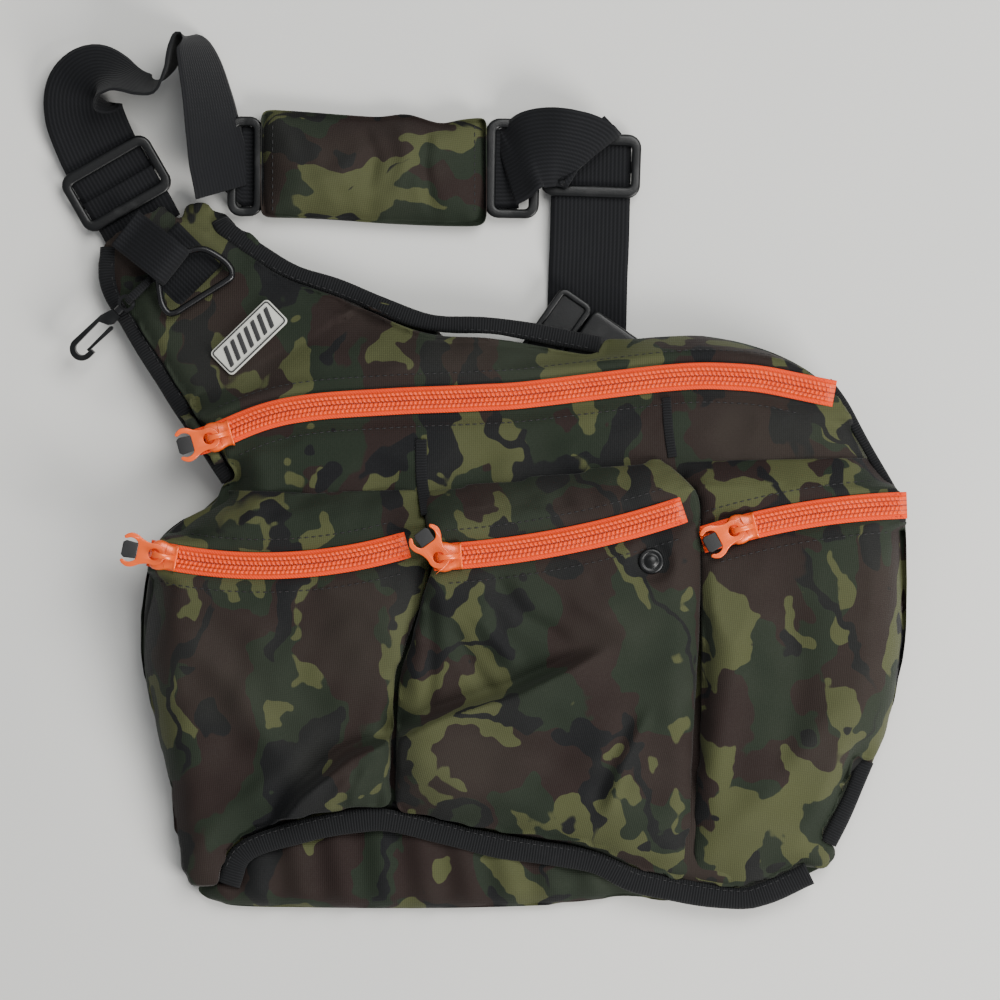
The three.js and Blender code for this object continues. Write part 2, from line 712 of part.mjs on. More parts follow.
// Along the hook's own x: the swivel eye, then the stem, then the hook with its gate.
const eyeRing = new THREE.Shape();
eyeRing.absarc(0, 0, hook.eye, 0, 2 * Math.PI, false);
const eyeHole = new THREE.Path();
eyeHole.absarc(0, 0, hook.eye - 1.6, 0, 2 * Math.PI, true);
eyeRing.holes.push(eyeHole);
const eyeBarrel = new THREE.CylinderGeometry(hook.stem, hook.stem, 3, 16);
eyeBarrel.rotateZ(Math.PI / 2);
const eyeBody = solid(raised(eyeRing, -0.9, 0.9, 12))
  .add(solid(eyeBarrel.translate(hook.eye + 0.6, 0, 0)));
const eyeReach = hook.eye - 0.8;
const eyeGroup = new THREE.Group();
eyeGroup.position.x = eyeReach;
hookGroup.add(eyeGroup);
piece('hook_swivel', geometryOf(eyeBody), blackMetal, eyeGroup);

const hookHalf = hook.width / 2;
const hookWall = 2.6;
const hookStart = eyeReach + hook.eye + 2.1 + gap;
const hookEnd = hookStart + hook.length - 6;
const hookPlan = new THREE.Shape();
hookPlan.moveTo(hookStart, -2.6);
hookPlan.lineTo(hookStart + 6, -hookHalf + 1);
hookPlan.lineTo(hookEnd - hookHalf, -hookHalf);
hookPlan.absarc(hookEnd - hookHalf, 0, hookHalf, -Math.PI / 2, Math.PI / 2, false);
hookPlan.lineTo(hookEnd - hookHalf - 3, hookHalf);
hookPlan.lineTo(hookEnd - hookHalf - 3, hookHalf - 2.2);
hookPlan.lineTo(hookEnd - hookHalf, hookHalf - hookWall);
hookPlan.absarc(hookEnd - hookHalf, 0, hookHalf - hookWall, Math.PI / 2, -Math.PI / 2, true);
hookPlan.lineTo(hookStart + 9, -hookHalf + hookWall);
hookPlan.lineTo(hookStart + 7, 1.2);
hookPlan.lineTo(hookStart + 5, 2.6);
hookPlan.lineTo(hookStart, 2.6);
piece('hook_body', raised(hookPlan, -hook.thickness / 2, hook.thickness / 2, 8), acetal, hookGroup);

// The gate is a sprung tongue from the shank to the inside of the hook's tip.
const gateStart = new THREE.Vector2(hookStart + 7.4, 3.1);
const gateLength = hookEnd - hookHalf - 3 - gateStart.x + 1.6;
const gateGroup = new THREE.Group();
gateGroup.position.set(gateStart.x, gateStart.y, 0);
hookGroup.add(gateGroup);
const gatePlan = new THREE.Shape();
gatePlan.moveTo(0, 1);
gatePlan.absarc(0, 0, 1, Math.PI / 2, Math.PI * 1.5, false);
gatePlan.lineTo(gateLength, hookHalf - 2.2 - gap - 1.2 - gateStart.y);
gatePlan.lineTo(gateLength, hookHalf - 2.2 - gap - gateStart.y);
piece('hook_gate', raised(gatePlan, -1.1, 1.1, 5), acetal, gateGroup);

// The hook's tab: one layer of narrow webbing through the eye, folded back on itself.
const hookTabRoot = -7;
const tabEnd = new THREE.Shape();
tabEnd.moveTo(hookTabRoot, -hookLoop - webbing.thickness);
tabEnd.lineTo(0, -hookLoop - webbing.thickness);
tabEnd.absarc(0, 0, hookLoop + webbing.thickness, -Math.PI / 2, Math.PI / 2, false);
tabEnd.lineTo(hookTabRoot, hookLoop + webbing.thickness);
tabEnd.lineTo(hookTabRoot, hookLoop);
tabEnd.lineTo(0, hookLoop);
tabEnd.absarc(0, 0, hookLoop, Math.PI / 2, -Math.PI / 2, true);
tabEnd.lineTo(hookTabRoot, -hookLoop);
const hookTab = raised(tabEnd, -1.9, 1.9, 5);
hookTab.rotateX(Math.PI / 2);
piece('hook_tab', hookTab, grosgrain, hookTabGroup);

// ---------------------------------------------------------------- the shoulder strap
// A three-bar slide for the webbing: end bars pass over it and the ribbed middle bar under it.
function slideGeometry(length) {
  const w = slideWidth / 2;
  const h = length / 2;
  const low = webbing.thickness / 2 + gap;
  const frame = roundedRectangle(2 * w, 2 * h, 4);
  const window = roundedRectangle(2 * (w - adjuster.rail), 2 * (h - adjuster.bar), 1.5);
  frame.holes.push(new THREE.Path(window.getPoints(2).reverse()));
  const rails = solid(raised(frame, low, low + 3, 3));
  const cheeks = [1, -1].map((side) => {
    const x = side * (w - adjuster.rail / 2);
    const block = new THREE.BoxGeometry(adjuster.rail, length * 0.45, 3 + 2 * low + 2);
    return solid(block.translate(x, 0, (3 - 2) / 2));
  });
  const middle = new THREE.BoxGeometry(slideWidth - 1, adjuster.bar, 2);
  const bar = solid(middle.translate(0, 0, -low - 1));
  return geometryOf(rails.add(cheeks[0]).add(cheeks[1]).add(bar));
}

function slide(name, x, y, z, turn, length = adjuster.length) {
  const group = new THREE.Group();
  group.position.set(x, y, z);
  group.rotation.z = radians(turn);
  bag.add(group);
  piece(name, slideGeometry(length), acetal, group);
}

const flat = layer.back + gap + webbing.thickness / 2;
const slideLevel = 0.9 + webbing.thickness / 2 + gap + 2.3;
const slideAt = atNeck(-2, 20);
slide('adjuster_neck', slideAt.x, slideAt.y, slideLevel, neck.turn);

// Across the strip in plan by `turn`, raised out of level by `tilt`.
const acrossAt = (turn, tilt = 0) => vector(
  Math.cos(radians(tilt)) * Math.cos(radians(turn)),
  Math.cos(radians(tilt)) * Math.sin(radians(turn)),
  Math.sin(radians(tilt)),
);
const station = (x, y, z, turn, tilt) => ({ at: vector(x, y, z), across: acrossAt(turn, tilt) });

// Stations are joined by a smooth run, with their directions turned evenly from one to the next.
function run(stations, steps) {
  const curve = new THREE.CatmullRomCurve3(stations.map(({ at }) => at), false, 'centripetal');
  const spans = stations.length - 1;
  return Array.from({ length: spans * steps + 1 }, (_, i) => {
    const span = Math.min(Math.floor(i / steps), spans - 1);
    const share = i / steps - span;
    const across = stations[span].across.clone().lerp(stations[span + 1].across, share);
    return { at: curve.getPoint(i / (spans * steps)), across: across.normalize() };
  });
}

const neckPoint = (across, up, z) => level(atNeck(across, up), z);
piece('webbing_neck', strip([
  { at: neckPoint(0, -webbingRoot, flat), across: acrossAt(neck.turn) },
  { at: neckPoint(0, 1.5, flat), across: acrossAt(neck.turn) },
  { at: neckPoint(-1, 8, slideLevel), across: acrossAt(neck.turn) },
  { at: neckPoint(-2, 19, slideLevel), across: acrossAt(neck.turn) },
], webbing.width, webbing.thickness), grosgrain);

const onEdge = webbing.width / 2;
// The loop of strap: up from the slide, over on its edge at the corner, then down to the pad.
piece('webbing_loop', strip(run([
  { at: neckPoint(-2, 19.6, slideLevel), across: acrossAt(neck.turn) },
  { at: neckPoint(-2, 36, slideLevel), across: acrossAt(27) },
  station(slideAt.x - 13.9, slideAt.y + 35.2, 9, 12, 10),
  station(slideAt.x - 12.4, slideAt.y + 47.2, onEdge - 4, -18, 38),
  station(slideAt.x + 0.1, slideAt.y + 52.2, onEdge + 1.5, -62, 66),
  station(slideAt.x + 19.1, slideAt.y + 52.8, onEdge + 2, -85, 82),
  station(padLeft - 41.2, padY + 53, onEdge + 2, -118, 70),
  station(padLeft - 33.7, padY + 52, onEdge + 2, -160, 58),
  station(padLeft - 30.2, padY + 42, onEdge + 3, -176, 50),
  station(padLeft - 27.2, padY + 26, onEdge + 5, -184, 44),
  station(padLeft - 24.2, padY + 11, onEdge + 6, -186, 44),
], 4), webbing.width, webbing.thickness), grosgrain);

slide('adjuster_pad_left', padLeft - gap - padSlide.left / 2, padY + 1, slideLevel, 90, padSlide.left);
piece('webbing_pad', strip([
  { at: vector(padLeft - 9, padY + 1, slideLevel), across: acrossAt(90) },
  { at: vector(padLeft + 2, padY, slideLevel), across: acrossAt(90) },
  { at: vector(padRight - 2, padY, slideLevel), across: acrossAt(90) },
  { at: vector(padRight + 8, padY, slideLevel), across: acrossAt(90) },
], webbing.width, webbing.thickness), grosgrain);

// The pad is a padded sleeve: its webbing runs through a slot the full length.
const padPlan = new THREE.Shape([
  new THREE.Vector2(padLeft, padY - pad.width / 2 + 1),
  new THREE.Vector2(padLeft + pad.length / 2, padY - pad.width / 2),
  new THREE.Vector2(padRight, padY - pad.width / 2),
  new THREE.Vector2(padRight, padY + pad.width / 2 - 1),
  new THREE.Vector2(padLeft + pad.length / 2, padY + pad.width / 2),
  new THREE.Vector2(padLeft, padY + pad.width / 2),
]);
const padSlot = new THREE.BoxGeometry(pad.length + 4, webbing.width + 2 * gap + 1,
  webbing.thickness + 2 * gap);
const padSolid = solid(raised(padPlan, gap, gap + pad.thickness)).subtract(
  solid(padSlot.translate(padLeft + pad.length / 2, padY + 0.3, slideLevel)));
piece('shoulder_pad', geometryOf(padSolid), canvas);

slide('adjuster_pad_right', padRight + 2 * gap + padSlide.right / 2, padY, slideLevel, 89,
  padSlide.right);

// From the pad's right slide the webbing turns over on a slanted fold and down into the drop slide.
const dropSlideY = padY + 1.5;
piece('webbing_twist', strip(run([
  station(padRight + 12, padY, slideLevel + 6.4, 88, 0),
  station(dropSlideX - 33, padY + 2, 15, 78, 16),
  station(dropSlideX - 20, padY + 6, 18, 62, 20),
  station(dropSlideX - 7, padY + 7, 15.5, 45, 8),
], 4), webbing.width, webbing.thickness), grosgrain);

slide('adjuster_drop', dropSlideX, dropSlideY, slideLevel, -2);
piece('webbing_drop', strip([
  { at: vector(dropSlideX + 0.3, dropSlideY + 12, slideLevel), across: acrossAt(-2) },
  { at: vector(dropX + 2, body.top + 35, slideLevel), across: acrossAt(-2) },
  { at: vector(dropX + 1, body.top + 25, lowWebbing), across: acrossAt(-1) },
  { at: vector(dropX, body.top - drop.depth + 2 * gap, lowWebbing), across: acrossAt(0) },
], webbing.width, webbing.thickness), grosgrain);

// ---------------------------------------------------------------- the side-release buckle
const buckleGroup = new THREE.Group();
const buckleLevel = lowWebbing + webbing.thickness / 2 + gap + buckle.height / 2 + gap;
buckleGroup.position.set(dropX - buckle.left, body.top - buckle.down, buckleLevel);
buckleGroup.rotation.z = radians(buckle.turn);
bag.add(buckleGroup);

// Along the buckle's x: the socket reaches left, the plug right; the prongs slide in the socket.
const socketLength = buckle.socket;
const socketBlock = solid(raised(roundedRectangle(socketLength, buckle.width, 3),
  -buckle.height / 2, buckle.height / 2, 3).translate(-socketLength / 2, 0, 0));
const prongRoom = { height: 4, width: 12 };
const socketMouth = new THREE.BoxGeometry(socketLength - 4, buckle.width - 2 * buckle.wall,
  prongRoom.height + 2 * gap).translate(-socketLength / 2 + 4, 0, 0);
const socketWindow = new THREE.BoxGeometry(socketLength - 9, buckle.width - 14, buckle.height)
  .translate(-socketLength / 2, 0, buckle.height / 2 + 1);
piece('buckle_socket', geometryOf(socketBlock.subtract(solid(socketMouth))
  .subtract(solid(socketWindow))), acetal, buckleGroup);

const plugLength = buckle.plug;
const plugBlock = solid(raised(roundedRectangle(plugLength, buckle.width, 3),
  -buckle.height / 2, buckle.height / 2, 3).translate(plugLength / 2 + 2 * gap, 0, 0));
const prongLength = socketLength - 8;
const middleProng = new THREE.BoxGeometry(prongLength + 3, prongRoom.width, prongRoom.height)
  .translate(-prongLength / 2 + 2, 0, 0);
const plugSlot = new THREE.BoxGeometry(5, webbing.width, buckle.height + 2)
  .translate(plugLength - 6, 0, 0);
piece('buckle_plug', geometryOf(plugBlock.add(solid(middleProng)).subtract(solid(plugSlot))),
  acetal, buckleGroup);

// The two sprung prongs bend in toward the middle when they are pinched.
for (const [name, side] of [['upper', 1], ['lower', -1]]) {
  const group = new THREE.Group();
  const y = side * (buckle.width / 2 - buckle.wall - gap - 2.2);
  group.position.set(-0.4, y, 0);
  buckleGroup.add(group);
  const arm = new THREE.BoxGeometry(prongLength - 2, 3, prongRoom.height);
  piece(`buckle_prong_${name}`, arm.translate(-prongLength / 2 + 1 - gap, 0, 0), acetal, group);
}

// ---------------------------------------------------------------- the snap stud by the middle zip
const studAt = spot(stud.across, stud.down);
const studLow = pocket.middle + gap;
const studProfile = [
  new THREE.Vector2(0, 0),
  new THREE.Vector2(stud.radius, 0),
  new THREE.Vector2(stud.radius, stud.height * 0.4),
  new THREE.Vector2(stud.radius * 0.7, stud.height),
  new THREE.Vector2(0, stud.height),
];
const studBody = new THREE.LatheGeometry(studProfile, 20).rotateX(Math.PI / 2);
piece('snap_stud', studBody.translate(studAt.x, studAt.y, studLow), acetal);

// ---------------------------------------------------------------- the origin
bag.updateMatrixWorld(true);
const box = new THREE.Box3().setFromObject(bag, true);
bag.position.set(-(box.min.x + box.max.x) / 2, -(box.min.y + box.max.y) / 2, -box.min.z);

export default bag;
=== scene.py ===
# %% [markdown]
# # A camouflage sling bag
# The bag lies on its back with its front up. It is a flat canvas shell with one long curved zip
# over the main compartment, three zipped pockets below it, and a strap that runs from the neck,
# through a short padded sleeve, round to a side-release buckle under the top edge.
# The rigid frame comes from the CAD model; every soft thing is shaped again here.

# %% Load the frame
import json
import bpy
import numpy as np
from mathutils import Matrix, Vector
from mathutils.bvhtree import BVHTree


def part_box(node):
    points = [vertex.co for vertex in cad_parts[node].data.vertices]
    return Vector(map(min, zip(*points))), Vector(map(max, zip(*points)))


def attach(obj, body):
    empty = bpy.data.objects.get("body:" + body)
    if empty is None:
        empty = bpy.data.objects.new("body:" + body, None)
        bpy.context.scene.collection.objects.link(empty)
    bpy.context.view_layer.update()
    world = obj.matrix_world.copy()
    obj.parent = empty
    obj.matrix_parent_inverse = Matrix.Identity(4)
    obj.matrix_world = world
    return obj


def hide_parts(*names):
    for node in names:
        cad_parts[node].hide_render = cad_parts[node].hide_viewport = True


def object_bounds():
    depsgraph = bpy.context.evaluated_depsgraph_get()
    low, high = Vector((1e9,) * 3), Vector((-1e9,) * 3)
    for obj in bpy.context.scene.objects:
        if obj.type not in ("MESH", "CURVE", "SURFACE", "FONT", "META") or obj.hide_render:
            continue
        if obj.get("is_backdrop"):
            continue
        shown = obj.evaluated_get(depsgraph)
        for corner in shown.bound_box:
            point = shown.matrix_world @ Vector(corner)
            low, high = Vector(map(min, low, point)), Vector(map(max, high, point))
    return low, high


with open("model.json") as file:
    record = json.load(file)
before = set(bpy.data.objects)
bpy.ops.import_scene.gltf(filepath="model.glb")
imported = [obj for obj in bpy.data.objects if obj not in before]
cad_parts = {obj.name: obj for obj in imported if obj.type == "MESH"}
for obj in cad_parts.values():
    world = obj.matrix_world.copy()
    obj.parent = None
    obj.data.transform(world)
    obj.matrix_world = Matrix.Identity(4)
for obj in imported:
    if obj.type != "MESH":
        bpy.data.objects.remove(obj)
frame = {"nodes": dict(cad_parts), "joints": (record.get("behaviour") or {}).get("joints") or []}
cad_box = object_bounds()
nodes = frame["nodes"]
joints = {joint["name"]: joint for joint in frame["joints"]}
print("CAD nodes", len(nodes), "size", [round(b - a, 4) for a, b in zip(*cad_box)])

# %% [markdown]
# ## Camera, floor and light
# The bag is seen from straight above, from about two metres, so its outline is hardly
# foreshortened. The camera looks at a point a little right of and below the bag's middle. The
# light is a soft window low on the right and a larger lamp high at the upper right, with a pale
# room all round.

# %% Camera, floor and light
MM = 0.001
VIEW_WIDTH = 0.48
VIEW_HEIGHT = 2.3


def make_camera():
    """Lens length = sensor width times height over the width that is seen."""
    data = bpy.data.cameras.new("camera")
    data.lens = 36 * VIEW_HEIGHT / VIEW_WIDTH
    data.clip_end = 20
    camera = bpy.data.objects.new("camera", data)
    camera.location = (0.0108, -0.0109, VIEW_HEIGHT)
    bpy.context.scene.collection.objects.link(camera)
    bpy.context.scene.camera = camera


def make_light(name, place, target, size, power, colour):
    """A square area light at place, turned so that its face looks at target."""
    data = bpy.data.lights.new(name, "AREA")
    data.size = size
    data.energy = power
    data.color = colour
    lamp = bpy.data.objects.new(name, data)
    lamp.location = place
    lamp.rotation_euler = (Vector(target) - Vector(place)).to_track_quat("-Z", "Y").to_euler()
    bpy.context.scene.collection.objects.link(lamp)


make_camera()
make_light("window", (1.0, -0.8, 0.95), (0, 0, 0), 0.7, 27, (1.0, 0.985, 0.96))
make_light("ceiling", (0.7, 0.85, 1.7), (0.15, 0.15, 0), 1.3, 38, (1.0, 1.0, 0.98))
world = bpy.data.worlds.new("room")
world.use_nodes = True
world.node_tree.nodes["Background"].inputs["Color"].default_value = (0.9, 0.92, 0.95, 1)
world.node_tree.nodes["Background"].inputs["Strength"].default_value = 0.5
bpy.context.scene.world = world

# %% [markdown]
# ## Shader arithmetic
# A finish is a small network of nodes. Writing it as sums and products reads far more easily
# than a list of links, so a socket is wrapped in a class whose operators add Math nodes.
# Colours go through Mix and vectors through Vector Math, since a Math node greys a colour.


# %% A socket that can be calculated with
class Wire:
    """One output socket; + - * / on it add a Math node and give that node's output."""

    def __init__(self, tree, socket):
        self.tree = tree
        self.socket = socket

    def feed(self, target):
        """Links this output to an input socket."""
        self.tree.links.new(self.socket, target)

    def math(self, operation, *values, flip=False):
        """A Math node on this value and the others; `flip` puts this value last."""
        node = self.tree.nodes.new("ShaderNodeMath")
        node.operation = operation
        order = (*values, self) if flip else (self, *values)
        for value, target in zip(order, node.inputs):
            plug(value, target)
        return Wire(self.tree, node.outputs[0])

    def __add__(self, other):
        return self.math("ADD", other)

    __radd__ = __add__

    def __mul__(self, other):
        return self.math("MULTIPLY", other)

    __rmul__ = __mul__

    def __sub__(self, other):
        return self.math("SUBTRACT", other)

    def __rsub__(self, other):
        return self.math("SUBTRACT", other, flip=True)

    def __truediv__(self, other):
        return self.math("DIVIDE", other)

    def __rtruediv__(self, other):
        return self.math("DIVIDE", other, flip=True)

    def __abs__(self):
        return self.math("ABSOLUTE")

    def between(self, low, high):
        """0 below low, 1 above high, and a smooth step from one to the other."""
        node = self.tree.nodes.new("ShaderNodeMapRange")
        node.interpolation_type = "SMOOTHSTEP"
        self.feed(node.inputs["Value"])
        node.inputs["From Min"].default_value = low
        node.inputs["From Max"].default_value = high
        return Wire(self.tree, node.outputs["Result"])


def plug(value, target):
    """Links a wire to a socket, or sets the socket to a plain value."""
    if isinstance(value, Wire):
        value.feed(target)
    else:
        target.default_value = value


# %% A finish: one material and its nodes
def linear(red, green, blue):
    """Screen colour, 0 to 255, to scene-linear: ((c + 0.055) / 1.055) to the power 2.4."""
    share = np.array([red, green, blue]) / 255
    bright = ((share + 0.055) / 1.055) ** 2.4
    return (*np.where(share <= 0.04045, share / 12.92, bright).tolist(), 1.0)


class Finish:
    """A material with one Principled shader, and short names for the nodes that feed it."""

    def __init__(self, name, **constants):
        self.material = bpy.data.materials.new(name)
        self.material.use_nodes = True
        self.tree = self.material.node_tree
        self.shader = self.tree.nodes["Principled BSDF"]
        for socket, value in constants.items():
            self.shader.inputs[socket.replace("_", " ")].default_value = value

    def add(self, kind, settings=None, output=0, **sockets):
        """Any other node: its settings first, then the values or links of its sockets."""
        node = self.tree.nodes.new("ShaderNode" + kind)
        for setting, value in (settings or {}).items():
            setattr(node, setting, value)
        for socket, value in sockets.items():
            plug(value, node.inputs[socket.replace("_", " ")])
        return Wire(self.tree, node.outputs[output])

    def place(self, scale=(1, 1, 1), turn=0.0, shift=(0, 0, 0)):
        """Object coordinates in metres, turned about Z, shifted and scaled by a Mapping node."""
        here = self.add("TexCoord", output="Object")
        return self.add("Mapping", Vector=here, Scale=scale, Rotation=(0, 0, turn), Location=shift)

    def run_of_tape(self):
        """The piece's own map, in metres: X across the tape and Y along it."""
        return self.add("UVMap", {"uv_map": "along"})

    def noise(self, vector, scale, detail=2.0, rough=0.5, output="Factor"):
        """Cloudy noise of `scale` lumps a metre, as a factor or as a colour."""
        output = 0 if output == "Factor" else 1
        return self.add("TexNoise", output=output, Vector=vector, Scale=scale, Detail=detail,
                        Roughness=rough)

    def push(self, vector, wobble, reach):
        """vector + wobble * reach, in one Vector Math node."""
        node = self.tree.nodes.new("ShaderNodeVectorMath")
        node.operation = "MULTIPLY_ADD"
        plug(wobble, node.inputs[0])
        node.inputs[1].default_value = reach
        plug(vector, node.inputs[2])
        return Wire(self.tree, node.outputs[0])

    def bands(self, vector, pitch, axis="X", profile="SIN"):
        """Parallel ridges, `pitch` metres apart: Blender's wave repeats every pi / (10 scale)."""
        settings = {"bands_direction": axis, "wave_profile": profile}
        return self.add("TexWave", settings, output=1, Vector=vector, Scale=np.pi / (10 * pitch))

    def mix(self, factor, first, second):
        """first * (1 - factor) + second * factor, for colours."""
        node = self.tree.nodes.new("ShaderNodeMix")
        node.data_type = "RGBA"
        plug(factor, node.inputs["Factor"])
        plug(first, node.inputs[6])
        plug(second, node.inputs[7])
        return Wire(self.tree, node.outputs[2])

    def look(self, colour=None, rough=None, height=None, depth=0.0002, strength=0.6):
        """Feeds the shader: colour, roughness, and a height that a Bump node turns to normals."""
        if colour is not None:
            plug(colour, self.shader.inputs["Base Color"])
        if rough is not None:
            plug(rough, self.shader.inputs["Roughness"])
        if height is not None:
            bump = self.add("Bump", Height=height, Distance=depth, Strength=strength)
            bump.feed(self.shader.inputs["Normal"])
        return self.material


print("black in linear light", [round(c, 4) for c in linear(28, 29, 34)[:3]])

# %% [markdown]
# ## The floor
# A plain pale table top under the bag, so that the black strap and the dark canvas read
# clearly and their soft shadows show how high each part lies.


# %% Floor
def make_floor():
    """A square whose corners are 3 m out from the middle, level with the lowest CAD point."""
    corners = np.array([(-3, -3), (3, -3), (3, 3), (-3, 3)], float)
    low = cad_box[0].z - 0.0003
    mesh = bpy.data.meshes.new("table_top")
    mesh.from_pydata([(x, y, low) for x, y in corners.tolist()], [], [(0, 1, 2, 3)])
    floor = bpy.data.objects.new("table_top", mesh)
    bpy.context.scene.collection.objects.link(floor)
    pale = Finish("pale_table", Specular_IOR_Level=0.3)
    here = pale.place()
    cloud = pale.noise(here, 3, 2).between(0.3, 0.7)
    grain = pale.noise(here, 400, 2)
    colour = pale.mix(cloud, linear(212, 212, 209), linear(218, 217, 213))
    floor.data.materials.append(pale.look(colour, grain * 0.1 + 0.5, grain, 0.0001, 0.1))
    floor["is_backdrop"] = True


make_floor()

# %% [markdown]
# ## Camouflage canvas
# Woodland camouflage is printed in four flat inks, one over the other: dark green ground, big
# brown blobs, pale olive blobs with fingered edges and thin black twigs. Noise that is cut at a
# level gives blobs, and a second, finer noise that pushes the places about gives the fingers.
# The blobs stand taller than they are wide, so the pattern is squeezed across.


# %% The print and the weave
GREEN = linear(26, 35, 23)
BROWN = linear(34, 22, 19)
OLIVE = linear(70, 73, 43)
INK = linear(11, 12, 15)
THREAD = linear(24, 24, 25)


def canvas(name, turn, shift):
    """Four inks: each is laid where its own wobbled noise rises above a level."""
    cloth = Finish(name, Sheen_Weight=0.06, Sheen_Roughness=0.4, Specular_IOR_Level=0.22)
    here = cloth.place(turn=turn, shift=shift)
    finger = cloth.noise(here, 62, 1.6, output="Color")
    sway = cloth.noise(here, 22, 1, output="Color")
    nudge = cloth.push(here, finger, (0.02, 0.02, 0.02))
    pushed = cloth.push(nudge, sway, (0.03, 0.022, 0.03))
    stretch = cloth.add("Mapping", Vector=pushed, Scale=(1.0, 0.46, 1.0))
    aside = cloth.add("Mapping", Vector=pushed, Scale=(1.0, 0.45, 1.0), Location=(3.1, 1.7, 0.4))
    twig = cloth.add("Mapping", Vector=pushed, Scale=(1.0, 0.42, 1.0), Location=(5.3, 7.1, 2.2))
    brown = cloth.noise(stretch, 30, 0.6).between(0.498, 0.506)
    olive = cloth.noise(aside, 37, 1.1).between(0.566, 0.574)
    line = abs(cloth.noise(twig, 21, 0.5) - 0.5)
    black = (1 - line.between(0.02, 0.024)) * cloth.noise(aside, 16, 0).between(0.5, 0.52)
    blot = cloth.noise(twig, 38, 0.8).between(0.615, 0.623)
    colour = cloth.mix(brown, GREEN, BROWN)
    colour = cloth.mix(olive, colour, OLIVE)
    colour = cloth.mix(black, colour, INK)
    colour = cloth.mix(blot, colour, INK)
    warp = cloth.bands(here, 0.00095, "X")
    weft = cloth.bands(here, 0.00085, "Y")
    fuzz = cloth.noise(here, 900, 2)
    weave = warp * 0.5 + weft * 0.5
    fade = cloth.noise(here, 14, 3).between(0.35, 0.75)
    worn = cloth.mix(fade * 0.1, colour, linear(92, 92, 80))
    shade = cloth.mix(weave * 0.28, worn, linear(16, 17, 16))
    return cloth.look(shade, fuzz * 0.18 + 0.7, weave + fuzz * 0.7, 0.00022, 0.55)


body_canvas = canvas("camouflage_canvas", 0.0, (0, 0, 0))
neck_canvas = canvas("camouflage_canvas_neck", 0.5, (1.3, 0.4, 0))
pad_canvas = canvas("camouflage_canvas_pad", 1.45, (2.1, 0.9, 0))
pocket_canvas = {
    "pocket_left": canvas("camouflage_canvas_left", 0.1, (0.7, 2.2, 0)),
    "pocket_middle": canvas("camouflage_canvas_middle", -0.25, (1.9, 3.4, 0)),
    "pocket_right": canvas("camouflage_canvas_right", -0.1, (3.6, 1.2, 0)),
}
print("canvas nodes", len(body_canvas.node_tree.nodes))

# %% [markdown]
# ## Black tapes
# Grosgrain binding has fine ribs across it; webbing is thicker, with ribs along it and a small
# herringbone between them. Both follow the tape, so they read the map that each swept piece
# carries, in metres, and not the place in the room.


# %% Grosgrain, webbing and thread
def grosgrain():
    """Ribs across the tape every 1.2 mm, with the yarns of each rib every 0.4 mm."""
    tape = Finish("black_grosgrain", Sheen_Weight=0.06, Specular_IOR_Level=0.25)
    run = tape.run_of_tape()
    rib = tape.bands(run, 0.0013, "Y")
    yarn = tape.bands(run, 0.00045, "X")
    dust = tape.noise(tape.place(), 45, 4, 0.7).between(0.5, 0.85)
    colour = tape.mix(dust * 0.14, linear(9, 10, 12), linear(56, 56, 56))
    # Painted highlight and shade: the colour is lighter on the rib crests and darker between them.
    colour = tape.mix(rib * 0.3, colour, linear(24, 25, 29))
    return tape.look(colour, 0.9 - rib * 0.15, rib + yarn * 0.3, 0.0003, 0.8)


def webbing():
    """Ribs along the tape every 1.7 mm, crossed by weft yarns that lean one way then the other."""
    band = Finish("black_webbing", Sheen_Weight=0.04, Specular_IOR_Level=0.25)
    run = band.run_of_tape()
    rib = band.bands(run, 0.0019, "X")
    weft = band.bands(run, 0.0009, "DIAGONAL")
    dust = band.noise(band.place(), 30, 5, 0.7).between(0.45, 0.9)
    colour = band.mix(dust * 0.1, linear(9, 10, 13), linear(48, 50, 52))
    # Painted highlight and shade: the colour is lighter on the rib crests and darker between them.
    colour = band.mix(rib * 0.25, colour, linear(24, 25, 30))
    return band.look(colour, 0.9 - rib * 0.12, rib + weft * 0.35, 0.00025, 0.6)


def thread(name, colour):
    """A twisted yarn: a fine slanted ripple on a slightly shiny thread."""
    yarn = Finish(name, Specular_IOR_Level=0.35)
    twist = yarn.bands(yarn.place(), 0.0005, "DIAGONAL")
    # Painted highlight: the colour is lighter on the crests of the twist.
    tint = yarn.mix(twist * 0.3, colour, linear(70, 70, 72))
    return yarn.look(tint, twist * 0.2 + 0.55, twist, 0.0001, 0.5)


black_tape = grosgrain()
black_webbing = webbing()
black_thread = thread("black_thread", THREAD)
orange_thread = thread("orange_thread", linear(200, 52, 16))
print("tapes", black_tape.name, black_webbing.name)

# %% [markdown]
# ## Orange zip, enamel, plastic, metal and rubber
# The zip tape is a flat twill, the coil a smooth bent nylon thread, the sliders are cast and
# enamelled with the edges worn brighter. The black fittings are moulded acetal with a faint
# pebble, the ring is painted steel and the pullers end in rubber.


# %% Zip and hardware finishes
def zip_cloth():
    """A herringbone of two slanted ripples, with painted shade in the dips."""
    tape = Finish("zip_tape_cloth", Sheen_Weight=0.1, Specular_IOR_Level=0.3)
    run = tape.run_of_tape()
    twill = tape.bands(run, 0.0007, "DIAGONAL")
    edge = tape.bands(run, 0.0011, "X")
    patch = tape.noise(tape.place(), 60, 3).between(0.3, 0.8)
    colour = tape.mix(patch * 0.3, linear(226, 62, 5), linear(200, 46, 3))
    # Painted shade: the colour is darker in the twill's dips and lighter on its ridges.
    colour = tape.mix(twill * 0.2, colour, linear(234, 88, 20))
    return tape.look(colour, 0.82 - twill * 0.1, twill + edge * 0.5, 0.0002, 0.6)


